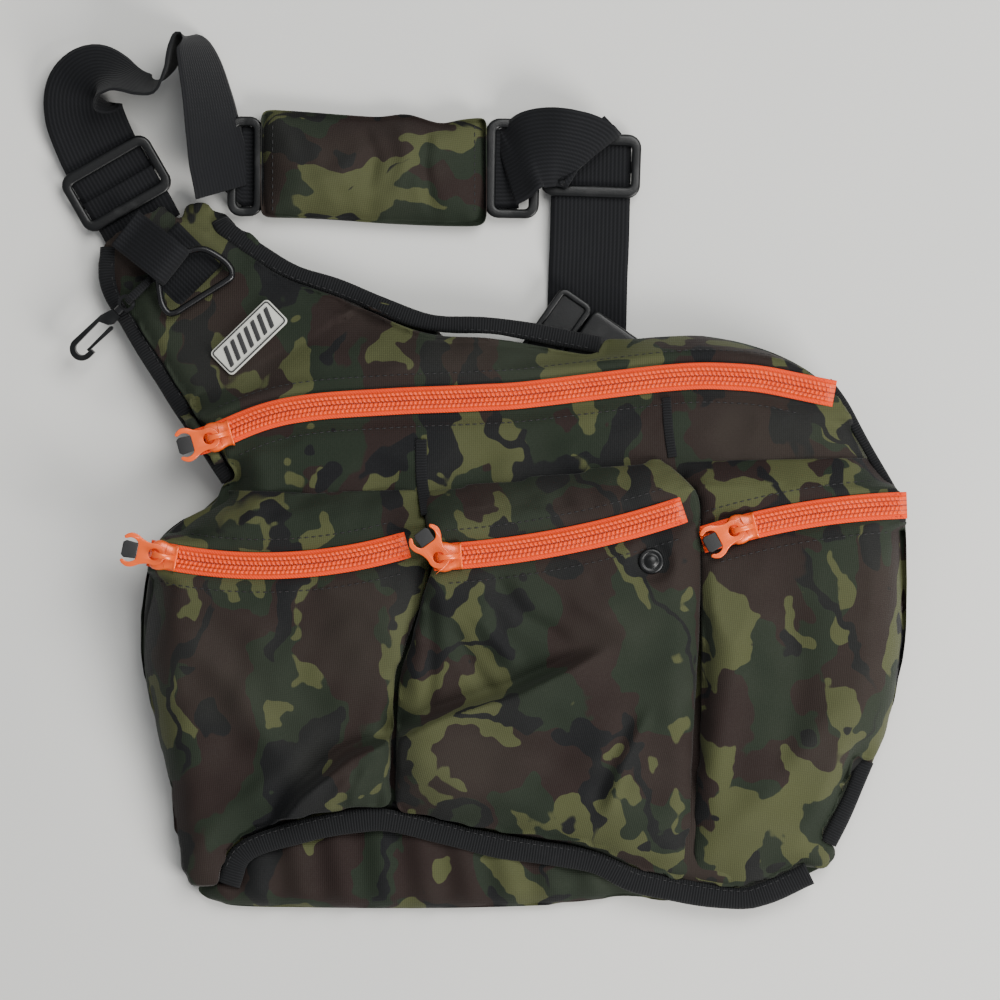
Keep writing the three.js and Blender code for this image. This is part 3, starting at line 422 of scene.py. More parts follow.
def nylon_coil():
    """Smooth nylon beads, with painted shade in the grooves down the middle and between the rows of
    stitches.
    """
    nylon = Finish("orange_nylon", Specular_IOR_Level=0.4, Coat_Weight=0.08, Coat_Roughness=0.25)
    here = nylon.place()
    stain = nylon.noise(here, 120, 3).between(0.3, 0.8)
    across = abs(nylon.add("SeparateXYZ", Vector=nylon.run_of_tape()))
    painted_groove_shade = (1 - across.between(0.0001, 0.0006)) + (1 - abs(across - 0.0023).between(0.0, 0.0004))
    colour = nylon.mix(stain * 0.4, linear(230, 76, 14), linear(204, 54, 7))
    # Painted shade: the grooves between the bead rows are darkened in the colour.
    colour = nylon.mix(painted_groove_shade * 0.75, colour, linear(100, 14, 4))
    return nylon.look(colour, stain * 0.15 + 0.32, nylon.noise(here, 1500, 1), 0.00008, 0.3)


def enamel(name, base, bright, metallic):
    """Enamel over cast zinc: orange-peel ripple, with thin spots where it has rubbed."""
    paint = Finish(name, Metallic=metallic, Coat_Weight=0.35, Coat_Roughness=0.12)
    here = paint.place()
    rubbed = paint.noise(here, 260, 4, 0.65).between(0.6, 0.75)
    peel = paint.noise(here, 500, 2)
    colour = paint.mix(rubbed * 0.5, base, bright)
    return paint.look(colour, peel * 0.2 + 0.25, peel + rubbed * 0.4, 0.00012, 0.35)


def moulded(name, base, rough, pebble, gloss=0.5):
    """Moulded plastic or rubber: fine pebble, and dust that dulls it in patches."""
    plastic = Finish(name, Specular_IOR_Level=gloss)
    here = plastic.place()
    dust = plastic.noise(here, 70, 4, 0.7).between(0.5, 0.85)
    grain = plastic.noise(here, pebble, 2)
    colour = plastic.mix(dust * 0.16, base, linear(84, 84, 84))
    return plastic.look(colour, dust * 0.2 + rough, grain, 0.00012, 0.35)


orange_tape = zip_cloth()
orange_coil = nylon_coil()
orange_enamel = enamel("orange_enamel", linear(240, 92, 18), linear(250, 130, 50), 0.2)
black_enamel = enamel("black_painted_steel", linear(20, 20, 22), linear(62, 62, 64), 0.6)
black_acetal = moulded("black_acetal", linear(10, 11, 12), 0.34, 1400, 0.34)
black_rubber = moulded("black_rubber", linear(22, 22, 23), 0.6, 900)
badge_rubber = moulded("badge_rubber", linear(188, 188, 180), 0.55, 800)
badge_border = moulded("badge_border", linear(26, 26, 28), 0.55, 800)

# The record's material slot that each finish belongs to; each finish is tagged with it.
SLOT_FINISHES = {
    "canvas": [body_canvas, neck_canvas, *pocket_canvas.values()],
    "pad_canvas": [pad_canvas],
    "grosgrain": [black_tape, black_thread],
    "webbing": [black_webbing],
    "zip_tape": [orange_tape, orange_thread],
    "zip_coil": [orange_coil],
    "orange_enamel": [orange_enamel],
    "black_metal": [black_enamel],
    "acetal": [black_acetal],
    "rubber": [black_rubber, badge_rubber, badge_border],
}
for slot_name, finishes in SLOT_FINISHES.items():
    for finish in finishes:
        finish["slot"] = slot_name
print("finishes", len(bpy.data.materials))

# %% [markdown]
# ## From arrays to pieces
# Every new piece is a grid of points worked out as whole arrays: the rows follow a path and the
# columns go round or across its section. One helper turns such a grid into a mesh, gives it a
# finish and lets it ride on a body of the frame, so that it moves as the real piece does.


# %% Grids, sweeps and pieces
def grid_faces(rows, columns, closed_rows=False, closed_columns=False):
    """Quads between neighbours of a rows x columns grid; a closed way joins its last to its first."""
    r = np.arange(rows if closed_rows else rows - 1)
    c = np.arange(columns if closed_columns else columns - 1)
    r, c = np.meshgrid(r, c, indexing="ij")
    next_r, next_c = (r + 1) % rows, (c + 1) % columns
    corners = (r * columns + c, r * columns + next_c, next_r * columns + next_c, next_r * columns + c)
    return np.stack(corners, -1).reshape(-1, 4)


def build(name, points, faces, finish, body="bag", uv=None, smooth=True):
    """A mesh object from (N, 3) millimetre points and (M, 3 or 4) faces, riding on `body`."""
    points = np.asarray(points, float).reshape(-1, 3) * MM
    faces = np.asarray(faces)
    mesh = bpy.data.meshes.new(name)
    mesh.vertices.add(len(points))
    mesh.vertices.foreach_set("co", points.astype(np.float32).ravel())
    mesh.loops.add(faces.size)
    mesh.loops.foreach_set("vertex_index", faces.astype(np.int32).ravel())
    mesh.polygons.add(len(faces))
    starts = np.arange(0, faces.size, faces.shape[1], dtype=np.int32)
    mesh.polygons.foreach_set("loop_start", starts)
    mesh.update(calc_edges=True)
    mesh.polygons.foreach_set("use_smooth", np.full(len(faces), smooth))
    if uv is not None:
        layer = mesh.uv_layers.new(name="along")
        corners = np.asarray(uv, float).reshape(-1, 2)[faces.ravel()] * MM
        layer.data.foreach_set("uv", corners.astype(np.float32).ravel())
    thing = bpy.data.objects.new(name, mesh)
    bpy.context.scene.collection.objects.link(thing)
    thing.data.materials.append(finish)
    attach(thing, body)
    return thing


def spline(points, count):
    """Catmull-Rom curve through the points, walked at `count` even steps of its own length."""
    knots = np.asarray(points, float)
    ends = [2 * knots[0] - knots[1], *knots, 2 * knots[-1] - knots[-2]]
    p = np.array(ends)
    t = np.linspace(0, 1, 24, endpoint=False)[:, None, None]
    a, b, c, d = p[:-3], p[1:-2], p[2:-1], p[3:]
    curve = 0.5 * (2 * b + (c - a) * t + (2 * a - 5 * b + 4 * c - d) * t**2
                   + (3 * b - a - 3 * c + d) * t**3)
    dense = np.concatenate([curve.transpose(1, 0, 2).reshape(-1, p.shape[1]), knots[-1:]])
    return even(dense, count)


def lengths(line):
    """Distance walked from the first point to each point of a line."""
    step = np.linalg.norm(np.diff(line[:, :3], axis=0), axis=1)
    return np.concatenate([[0], np.cumsum(step)])


def even(line, count):
    """The same line with `count` points an even distance apart."""
    walked = lengths(line)
    want = np.linspace(0, walked[-1], count)
    return np.stack([np.interp(want, walked, line[:, k]) for k in range(line.shape[1])], 1)


def unit(vectors):
    """Each vector over its own length."""
    return vectors / np.maximum(np.linalg.norm(vectors, axis=-1, keepdims=True), 1e-9)


def sweep(name, line, across, section, finish, body="bag", closed=False):
    """Point (i, j) = line i + across i * section j's x + normal i * section j's y.

    `across` is one direction a station; the normal is square to it and to the way along.
    The map named "along" holds the distance round the section and the distance along the line.
    """
    along = unit(np.gradient(line, axis=0))
    if closed:
        along = unit(np.roll(line, -1, 0) - np.roll(line, 1, 0))
    across = unit(across - (across * along).sum(1, keepdims=True) * along)
    normal = np.cross(along, across)
    x, y = section[..., 0], section[..., 1]
    if section.ndim == 2:
        x, y = np.broadcast_to(x, (len(line), len(x))), np.broadcast_to(y, (len(line), len(y)))
    points = line[:, None] + across[:, None] * x[..., None] + normal[:, None] * y[..., None]
    rows, columns = points.shape[:2]
    way = lengths(line)[:, None] + np.zeros(columns)
    uv = np.stack([x, way], -1)
    faces = grid_faces(rows, columns, closed, True)[:, ::-1]
    points = points.reshape(-1, 3)
    uv = uv.reshape(-1, 2)
    if not closed:
        middle = [points[:columns].mean(0), points[-columns:].mean(0)]
        points = np.vstack([points, middle])
        uv = np.vstack([uv, uv[0] * 0, uv[-1] * 0])
        ring = np.arange(columns)
        after = (ring + 1) % columns
        last = (rows - 1) * columns
        triangles = np.vstack([
            np.stack([ring, after, np.full(columns, len(points) - 2)], 1),
            np.stack([last + after, last + ring, np.full(columns, len(points) - 1)], 1),
        ])
        return build_mixed(name, points, faces, triangles, finish, body, uv)
    return build(name, points, faces, finish, body, uv)


def build_mixed(name, points, quads, triangles, finish, body, uv):
    """Quads and end triangles together; each quad is split so that the mesh is triangles."""
    split = np.vstack([quads[:, [0, 1, 2]], quads[:, [0, 2, 3]], triangles])
    return build(name, points, split, finish, body, uv)


def rounded(width, height, radius, arc=4):
    """Section of a bar: a rectangle with quarter circles at its corners, anticlockwise."""
    radius = min(radius, width / 2 - 0.01, height / 2 - 0.01)
    turn = np.linspace(0, np.pi / 2, arc + 1)
    corner = np.stack([np.cos(turn), np.sin(turn)], 1) * radius
    middle = np.array([width / 2 - radius, height / 2 - radius])
    quarter = [corner + middle]
    for angle in (1, 2, 3):
        c, s = np.cos(angle * np.pi / 2), np.sin(angle * np.pi / 2)
        centre = middle * [1 if angle == 3 else -1, 1 if angle == 1 else -1]
        quarter.append(corner @ np.array([[c, s], [-s, c]]) + centre)
    return np.vstack(quarter)


def band(width, thickness, columns=24, sag=0.0):
    """Section of a flat tape: top from left to right, then the underside back."""
    x = np.linspace(-width / 2, width / 2, columns)
    edge = np.clip((width / 2 - np.abs(x)) / (thickness * 0.6), 0, 1)
    half = thickness / 2 * np.sqrt(np.clip(edge * (2 - edge), 0.02, 1))
    bow = -sag * (2 * x / width) ** 2
    top = np.stack([x, bow + half], 1)
    under = np.stack([x, bow - half], 1)[::-1]
    return np.vstack([under, top])[::-1]


def corners(node):
    """Lowest and highest corner of a CAD node, in millimetres."""
    low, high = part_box(node)
    return np.array(low) / MM, np.array(high) / MM


def wave(first, last, x):
    """Smooth step: 0 up to first, 1 from last on, 3 t^2 - 2 t^3 between."""
    t = np.clip((x - first) / (last - first), 0, 1)
    return t * t * (3 - 2 * t)


print("helpers ready; a 3 x 3 grid has", len(grid_faces(3, 3)), "faces")

# %% [markdown]
# ## Where things are on the bag
# The panels are laid out in shares of the bag's own width and height, as a pattern cutter would
# mark them, so that the seams, folds and tapes all move together with the frame. The width and
# the height come from the CAD back panel. Each zip lies on the arc that its slider travels, and
# the joint in the record gives that arc's middle.

# %% The pattern and the zip lines
back_low, back_high = corners("back_panel")
BODY_WIDTH = (back_high[0] - back_low[0]) * 0.9363
BODY_HEIGHT = (back_high[1] - back_low[1]) * 0.8299
BODY_LEFT = back_high[0] - BODY_WIDTH * 1.002
BODY_TOP = back_low[1] + BODY_HEIGHT


def spot(across, down):
    """A place on the body: shares of its width from the left and of its height from the top."""
    return np.array([BODY_LEFT + across * BODY_WIDTH, BODY_TOP - down * BODY_HEIGHT])


def spots(*pairs):
    """Several places at once, each from its shares across and down the body."""
    return np.array([spot(across, down) for across, down in pairs])


def zip_line(name, before, after, count, bend=None):
    """Points on the slider's arc: centre + radius * (cos, sin), from before its rest to after."""
    joint = joints[f"slider_{name}_travel"]
    middle = np.array(joint["pos_m"]) / MM
    low, high = corners(f"slider_{name}")
    rest = (low + high)[:2] / 2 - middle[:2]
    radius = np.hypot(*rest)
    start = np.arctan2(rest[1], rest[0])
    sense = np.sign(joint["axis"][2])
    travel = np.radians(joint["range_deg"][1])
    turn = np.linspace(-before / radius, travel + after / radius, count)
    out = radius + (0 if bend is None else bend(turn / travel))
    angle = start + sense * turn
    return np.stack([middle[0] + out * np.cos(angle), middle[1] + out * np.sin(angle)], 1)


def main_bend(share):
    """The main zip leaves its arc: it stands proud near both ends and dips in the middle."""
    knots = [-0.1, 0, 0.04, 0.1, 0.17, 0.27, 0.4, 0.5, 0.57, 0.64, 0.7, 0.77, 0.82, 0.91, 1, 1.1]
    lift = [0, 0, 2.2, 3.8, 2.6, -0.8, -4.2, -5.4, -4.2, -2.2, 0, 2.8, 4.4, 5.2, 3, 2]
    return np.interp(share, knots, lift)


def softened(line, window=9):
    """Running mean of a line, with its ends repeated."""
    pad = np.concatenate([np.repeat(line[:1], window, 0), line, np.repeat(line[-1:], window, 0)])
    kernel = np.ones(window) / window
    smooth = [np.convolve(pad[:, k], kernel, "same") for k in range(line.shape[1])]
    return np.stack(smooth, 1)[window:-window]


ZIP_ENDS = {"main": (13, 13), "left": (8, 9), "middle": (8, 12), "right": (21, 17)}
ZIP_LEVEL = {name: corners(f"zip_tape_{name}")[0][2] for name in ZIP_ENDS}
zip_lines = {}
for zip_name, (before, after) in ZIP_ENDS.items():
    bend = main_bend if zip_name == "main" else None
    zip_lines[zip_name] = softened(zip_line(zip_name, before, after, 161, bend))
print("zip lengths", {k: round(lengths(v)[-1]) for k, v in zip_lines.items()})

# %% [markdown]
# ## How fabric is shaped
# A fold in cloth is a line with a rise beside it. These few helpers measure how far each point
# lies from a line, all points at once, and turn that distance into a ridge, a valley, or a
# shelf, where one side stands higher and eases away. Gentle waves in several directions
# give the slack that lies between the folds.


# %% Distance to a line, ridges and shelves
def beside(points, line):
    """Nearest distance of each (x, y) to a polyline, which side it lies on, and how far along.

    For each piece of the line the point is dropped square onto it; the nearest piece wins.
    """
    best = np.full(len(points), 1e9)
    side = np.zeros(len(points))
    share = np.zeros(len(points))
    walked = lengths(line)
    for i, (a, b) in enumerate(zip(line[:-1], line[1:])):
        step = b - a
        length = np.hypot(*step)
        t = np.clip(((points - a) @ step) / length**2, 0, 1)
        off = points - a - t[:, None] * step
        far = np.hypot(off[:, 0], off[:, 1])
        near = far < best
        best = np.where(near, far, best)
        cross = step[0] * off[:, 1] - step[1] * off[:, 0]
        side = np.where(near, np.sign(cross), side)
        share = np.where(near, (walked[i] + t * length) / walked[-1], share)
    return best, side, share


def taper(share, ends=0.25):
    """1 in the middle of a fold and easing to 0 at both of its ends."""
    return wave(0, ends, share) * wave(0, ends, 1 - share)


def ridge(xy, line, height, width, ends=0.25):
    """height * exp(-(distance / width)^2), faded at the ends; a negative height is a valley."""
    far, _, share = beside(xy, line)
    return height * np.exp(-((far / width) ** 2)) * taper(share, ends)


def shelf(xy, line, height, soften, reach, ends=0.25):
    """Right of the line it stands up by height and eases away over reach; left of it, it dips."""
    far, side, share = beside(xy, line)
    signed = -side * far
    rise = np.where(signed > 0, np.exp(-far / reach), -0.5 * np.exp(-far / (0.4 * reach)))
    edge = np.clip(far / soften, 0, 1)
    return height * rise * edge * taper(share, ends)


def slack(xy, seed, size, height):
    """Sum of six sine waves of about `size` mm in set directions, so cloth is never dead flat."""
    rng = np.random.default_rng(seed)
    total = np.zeros(len(xy))
    for _ in range(6):
        turn = rng.uniform(0, np.pi)
        pitch = size * rng.uniform(0.7, 1.5)
        phase = rng.uniform(0, 2 * np.pi)
        way = xy @ np.array([np.cos(turn), np.sin(turn)])
        other = xy @ np.array([-np.sin(turn), np.cos(turn)])
        total += np.sin(2 * np.pi * way / pitch + phase + 0.8 * np.sin(other / size * 2.2))
    return height * total / 3


print("a ridge 10 mm off its line is", round(float(np.exp(-4)), 3), "of its height")

# %% [markdown]
# ## Swelling a compartment
# The CAD compartments are plain blocks that stand for soft cloth. Each is copied, remeshed into
# even small squares, and then blown up a little as cloth by a simulation, which rounds the
# edges and strains the sheets as a real sewn pocket does. The push is capped, and then the
# pressed-flat places under the zips, the rolled edges and the folds are worked in. The walls'
# `plump` takes up the gap of a seam, and `lowest` keeps the cloth off the table.


# %% The cloth simulation
def evaluated(thing):
    """The mesh of an object with its modifiers worked out."""
    graph = bpy.context.evaluated_depsgraph_get()
    return bpy.data.meshes.new_from_object(thing.evaluated_get(graph))


def coordinates(mesh):
    """Every vertex of the mesh as one (N, 3) array."""
    flat = np.zeros(len(mesh.vertices) * 3, np.float32)
    mesh.vertices.foreach_get("co", flat)
    return flat.reshape(-1, 3).astype(float)


def remeshed(names, voxel):
    """The CAD nodes' meshes in one, merged and rebuilt from cubes of `voxel` mm."""
    points = [coordinates(nodes[name].data) for name in names]
    first = np.cumsum([0] + [len(part) for part in points])
    faces = []
    for name, start in zip(names, first):
        loops = np.zeros(len(nodes[name].data.loops), np.int32)
        nodes[name].data.loops.foreach_get("vertex_index", loops)
        faces.append(loops.reshape(-1, 3) + start)
    mesh = bpy.data.meshes.new("swell")
    mesh.from_pydata(np.vstack(points).tolist(), [], np.vstack(faces).tolist())
    thing = bpy.data.objects.new("swell", mesh)
    bpy.context.scene.collection.objects.link(thing)
    merge = thing.modifiers.new("merge", "WELD")
    merge.merge_threshold = 0.00001
    cubes = thing.modifiers.new("cubes", "REMESH")
    cubes.mode = "VOXEL"
    cubes.voxel_size = voxel * MM
    thing.data = evaluated(thing)
    thing.modifiers.clear()
    return thing


def swell(names, voxel, pressure, cap):
    """Cloth under pressure for 20 frames; no point moves more than `cap` mm. Then one subdivision."""
    thing = remeshed(names, voxel)
    rest = coordinates(thing.data)
    cloth = thing.modifiers.new("cloth", "CLOTH")
    cloth.settings.quality = 4
    cloth.settings.mass = 0.3
    cloth.settings.tension_stiffness = 20
    cloth.settings.compression_stiffness = 20
    cloth.settings.bending_stiffness = 0.6
    cloth.settings.use_pressure = True
    cloth.settings.uniform_pressure_force = pressure
    cloth.settings.effector_weights.gravity = 0
    for number in range(1, 21):
        bpy.context.scene.frame_set(number)
    swollen = coordinates(evaluated(thing))
    thing.modifiers.clear()
    bpy.context.scene.frame_set(1)
    move = (swollen - rest) * [0.3, 0.3, 1.0]
    far = np.linalg.norm(move, axis=1, keepdims=True)
    move *= np.minimum(1, cap * MM / np.maximum(far, 1e-9))
    thing.data.vertices.foreach_set("co", (rest + move).astype(np.float32).ravel())
    thing.data.update()
    smooth = thing.modifiers.new("smooth", "SMOOTH")
    smooth.factor = 0.5
    smooth.iterations = 3
    finer = thing.modifiers.new("finer", "SUBSURF")
    finer.levels = 1
    finer.render_levels = 1
    mesh = evaluated(thing)
    bpy.data.objects.remove(thing)
    return mesh


def shaped(name, stands_for, mesh, shape, finish, plump=1.3, lowest=2.6):
    """Moves the mesh by `shape`, which gets (points, how far each faces up), both as arrays.

    First the walls go out by `plump` mm along their own directions, to take up the seam's gap.
    At the end no point is left below `lowest` mm.
    """
    points = coordinates(mesh) / MM
    facing = np.zeros(len(mesh.vertices) * 3, np.float32)
    mesh.vertices.foreach_get("normal", facing)
    facing = facing.reshape(-1, 3)
    up = wave(0.15, 0.6, facing[:, 2])
    points[:, :2] += facing[:, :2] * plump
    points = shape(points, up)
    points[:, 2] = np.maximum(points[:, 2], lowest)
    mesh.vertices.foreach_set("co", (points * MM).astype(np.float32).ravel())
    mesh.polygons.foreach_set("use_smooth", np.ones(len(mesh.polygons), bool))
    mesh.materials.clear()
    mesh.materials.append(finish)
    mesh.update()
    thing = bpy.data.objects.new(name, mesh)
    bpy.context.scene.collection.objects.link(thing)
    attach(thing, "bag")
    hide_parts(*stands_for)
    print(name, len(mesh.polygons), "faces")
    return thing

# %% [markdown]
# ## The bag's edges
# Four bound edges and the plain outer edge decide where the sheets come down: a bound edge is
# pinched thin by its tape, and an unbound one turns over in a soft roll.

# %% Bound edges and the outer edge
TOP_RUN = [(0.096, -0.166, 9), (0.107, -0.148, 11), (0.184, -0.083, 15), (0.258, -0.049, 18),
           (0.368, 0.006, 20), (0.468, 0.015, 20), (0.6, 0.046, 20)]
NECK_RUN = [(-0.052, -0.12, 8), (-0.052, -0.06, 10.5), (-0.024, 0.01, 11.5), (0.058, 0.172, 19),
            (0.11, 0.272, 21)]
BOTTOM_RUN = [(0.108, 0.955, 12), (0.128, 0.9, 13), (0.201, 0.866, 15), (0.281, 0.846, 16),
              (0.334, 0.849, 16), (0.461, 0.888, 15), (0.584, 0.914, 14), (0.654, 0.951, 13),
              (0.774, 0.978, 12), (0.823, 0.968, 12), (0.878, 0.936, 12)]
SIDE_RUN = [(0.952, 0.745, 16), (0.93, 0.815, 14), (0.903, 0.885, 12)]
OUTER = spots((0.603, 0.03), (0.747, 0.031), (0.857, 0.074), (0.926, 0.147), (0.956, 0.231),
              (0.994, 0.306), (1, 0.438), (1, 0.561), (0.974, 0.724), (0.915, 0.886),
              (0.905, 0.929), (0.817, 0.984), (0.758, 1), (0.645, 0.975), (0.548, 0.988),
              (0.375, 0.997), (0.204, 0.995), (0.097, 0.988), (0.053, 0.952), (0.04, 0.888),
              (0.028, 0.781), (-0.005, 0.579), (0.01, 0.4), (0.052, 0.34), (0.099, 0.296))


def lifted(run):
    """A run given as (across, down, height) turned into millimetre points."""
    return np.array([[*spot(across, down), height] for across, down, height in run])


bound = {name: spline(lifted(run), 60) for name, run in
         {"top": TOP_RUN, "neck": NECK_RUN, "bottom": BOTTOM_RUN, "side": SIDE_RUN}.items()}
outer_edge = spline(OUTER, 160)
neck_line = spots((0.03, 0.16), (0.32, -0.04))
print("bound edges", {k: round(lengths(v)[-1]) for k, v in bound.items()})


# %% Pressing the cloth down at edges and under zips
def pinch(points, up, run, reach, proud=1.2):
    """Top points within reach of a bound edge come down: z = edge + (z - edge) * sin(t * 90 deg)."""
    far, _, share = beside(points[:, :2], run[:, :2])
    edge = np.interp(share * (len(run) - 1), np.arange(len(run)), run[:, 2]) + proud
    ease = np.sin(np.clip(far / reach, 0, 1) * np.pi / 2)
    lowered = edge + (points[:, 2] - edge) * ease
    out = points.copy()
    out[:, 2] = np.where(points[:, 2] > edge, points[:, 2] * (1 - up) + lowered * up, points[:, 2])
    return out


def rolled(points, edge, low, reach):
    """Points near an open edge follow a quarter circle down: sqrt(1 - (1 - distance / reach)^2)."""
    far, _, _ = beside(points[:, :2], edge)
    ease = np.sqrt(np.clip(1 - (1 - np.clip(far / reach, 0, 1)) ** 2, 0, 1))
    out = points.copy()
    out[:, 2] = np.where(points[:, 2] > low, low + (points[:, 2] - low) * ease, points[:, 2])
    return out


def zip_seat(points, up, name, lip=1.5, clear=6.6):
    """Under a zip the cloth is flat, just below the tape; beside it a folded edge stands up."""
    line = zip_lines[name]
    ahead = line[-1] + unit(line[-1] - line[-2]) * 8
    far, _, _ = beside(points[:, :2], np.vstack([line, ahead]))
    level = ZIP_LEVEL[name] - 0.45
    flat = 1 - wave(clear, clear + 6.4, far)
    fold = lip * np.exp(-(((far - clear - 1.8) / 1.7) ** 2))
    out = points.copy()
    target = level * flat + np.minimum(points[:, 2], level + 3.5) * (1 - flat) + fold
    out[:, 2] = points[:, 2] * (1 - up) + target * up
    return out


def lift(points, up, amount):
    """Raises the upward-facing points by amount."""
    out = points.copy()
    out[:, 2] += amount * up
    return out


# %% [markdown]
# ## The front panel and the neck
# The main compartment and the neck are one sheet of canvas that narrows up to the strap. It is
# thin along its bound edges and full in the middle, with drag lines that run from the zip's end
# and from the neck towards the middle.

# %% Front panel
neck_low, neck_high = corners("neck_panel")


NECK_EDGE = 10.0
NECK_RISE = 0.1636


def front_shape(points, up):
    """The neck's slope runs on into the main sheet, then edges, zip seat and drag lines."""
    xy = points[:, :2]
    far, side, _ = beside(xy, neck_line)
    main_side = side < 0
    start = np.array([neck_low[0] + 20.3, neck_high[1] - 9.5])
    slope = NECK_EDGE + NECK_RISE * ((xy - start) @ np.array([0.5, -0.866]))
    blend = wave(0, 48, far)
    out = points.copy()
    joined = np.minimum(slope, 33) * (1 - blend) + points[:, 2] * blend
    out[:, 2] = np.where(main_side & (up > 0), points[:, 2] * (1 - up) + joined * up, points[:, 2])
    out = pinch(out, up, bound["top"], 30)
    out = pinch(out, up, bound["neck"], 20)
    out = rolled(out, outer_edge[:55], 8, 20)
    drag = ridge(xy, spots((0.13, 0.13), (0.22, 0.07), (0.33, 0.05)), 1.6, 6)
    drag += ridge(xy, spots((0.1, 0.11), (0.17, 0.02), (0.2, -0.05)), 1.3, 5)
    drag += ridge(xy, spots((0.42, 0.05), (0.48, 0.08), (0.6, 0.09)), -1.3, 5)
    drag += ridge(xy, spots((0.62, 0.07), (0.72, 0.05), (0.84, 0.08)), 1.2, 6)
    drag += ridge(xy, spots((0.12, 0.24), (0.25, 0.225), (0.4, 0.21)), 1.2, 5)
    drag += ridge(xy, spots((0.42, 0.25), (0.55, 0.2), (0.68, 0.17)), -1.4, 6)
    drag += ridge(xy, spots((0.55, 0.26), (0.64, 0.2), (0.68, 0.14)), 1.2, 5)
    drag += slack(xy, 3, 46, 1.2) + slack(xy, 4, 20, 0.4)
    calm = wave(2, 14, beside(xy, bound["neck"][:, :2])[0])
    out = lift(out, up, drag * calm)
    on_neck = (side > 0) | (far < 4)
    out[:, 2] = np.where(on_neck, np.minimum(out[:, 2], slope + 0.15), out[:, 2])
    return zip_seat(out, up, "main", 1.2, 9.2)


front = swell(("main_compartment", "neck_panel"), 4.2, 3, 3.5)
front_panel = shaped("front_panel", ("main_compartment", "neck_panel"), front, front_shape,
                     body_canvas)

# %% [markdown]
# ## The three pockets
# Each pocket is a flat bag sewn onto the front: gathered and full above its zip, flat under the
# zip tape, then a long loose fall down to the bottom binding. The left pocket is pulled by one
# big diagonal fold that ends in small pleats over the binding; the middle one has gathers under
# its zip; the right one hangs smoothly with one sharp crease.

# %% Pocket folds
LONG_FOLD = spots((0.12, 0.93), (0.2, 0.8), (0.268, 0.73), (0.343, 0.69), (0.39, 0.66),
                  (0.49, 0.62), (0.617, 0.54))


def pocket_base(points, up, reach=20):
    """What all pockets share: a roll at the outer edge and pinched bindings."""
    out = rolled(points, outer_edge[20:], 9, reach)
    out = pinch(out, up, bound["bottom"], 24)
    out = pinch(out, up, bound["side"], 16)
    return out


def left_shape(points, up):
    """Shelf along the long fold, drag lines from the zip's ends and pleats over the binding."""
    xy = points[:, :2]
    out = pocket_base(points, up)
    rise = shelf(xy, LONG_FOLD, 9.5, 3.0, 26, 0.12)
    rise += ridge(xy, spots((0.02, 0.5), (0.12, 0.62), (0.2, 0.78)), 2.8, 8)
    rise += ridge(xy, spots((0.05, 0.72), (0.13, 0.7), (0.27, 0.6)), -1.8, 7)
    rise += ridge(xy, spots((0.09, 0.85), (0.18, 0.76), (0.25, 0.66)), 1.8, 5)
    rise += ridge(xy, spots((0.27, 0.87), (0.275, 0.8), (0.3, 0.74)), 2.4, 2.6)
    rise += ridge(xy, spots((0.235, 0.87), (0.245, 0.81), (0.28, 0.76)), 1.8, 2.4)
    rise += ridge(xy, spots((0.3, 0.86), (0.305, 0.8), (0.325, 0.73)), -2.0, 2.6)
    rise += ridge(xy, spots((0.29, 0.46), (0.34, 0.55), (0.35, 0.66)), 2.0, 7)
    rise += slack(xy, 11, 52, 1.6) + slack(xy, 12, 22, 0.5)
    above = xy[:, 1] > spot(0, 0.36)[1]
    rise = np.where(above, 0.6 * slack(xy, 13, 15, 0.8), rise)
    out = lift(out, up, rise)
    return zip_seat(out, up, "left")


def middle_shape(points, up):
    """The long fold runs on here; short gathers fan out from under the zip."""
    xy = points[:, :2]
    out = pocket_base(points, up)
    rise = shelf(xy, LONG_FOLD, 9, 3.0, 24, 0.12)
    rise += ridge(xy, spots((0.375, 0.44), (0.378, 0.55), (0.372, 0.68)), -3, 3.5)
    rise += ridge(xy, spots((0.42, 0.44), (0.455, 0.53), (0.5, 0.6)), 3.2, 4)
    rise += ridge(xy, spots((0.45, 0.42), (0.5, 0.5), (0.57, 0.55)), -2.6, 4)
    rise += ridge(xy, spots((0.4, 0.5), (0.43, 0.58), (0.47, 0.65)), -2.8, 3.6)
    rise += ridge(xy, spots((0.55, 0.4), (0.58, 0.48), (0.66, 0.56)), 1.8, 6)
    rise += ridge(xy, spots((0.67, 0.64), (0.63, 0.75), (0.605, 0.85)), 2.6, 3)
    rise += ridge(xy, spots((0.645, 0.64), (0.61, 0.75), (0.585, 0.85)), -2.0, 4)
    rise += ridge(xy, spots((0.36, 0.78), (0.45, 0.76), (0.56, 0.72)), 2, 12)
    rise += slack(xy, 21, 50, 1.5) + slack(xy, 22, 20, 0.5)
    above = xy[:, 1] > spot(0, 0.32)[1]
    rise = np.where(above, 0.6 * slack(xy, 23, 14, 0.8), rise)
    out = lift(out, up, rise)
    out = zip_seat(out, up, "middle")
    stud_low, stud_high = corners("snap_stud")
    far = np.hypot(*(out[:, :2] - (stud_low + stud_high)[:2] / 2).T)
    seat = (1 - wave(6.5, 12, far)) * up
    out[:, 2] = out[:, 2] * (1 - seat) + (stud_low[2] - 0.3) * seat
    return out


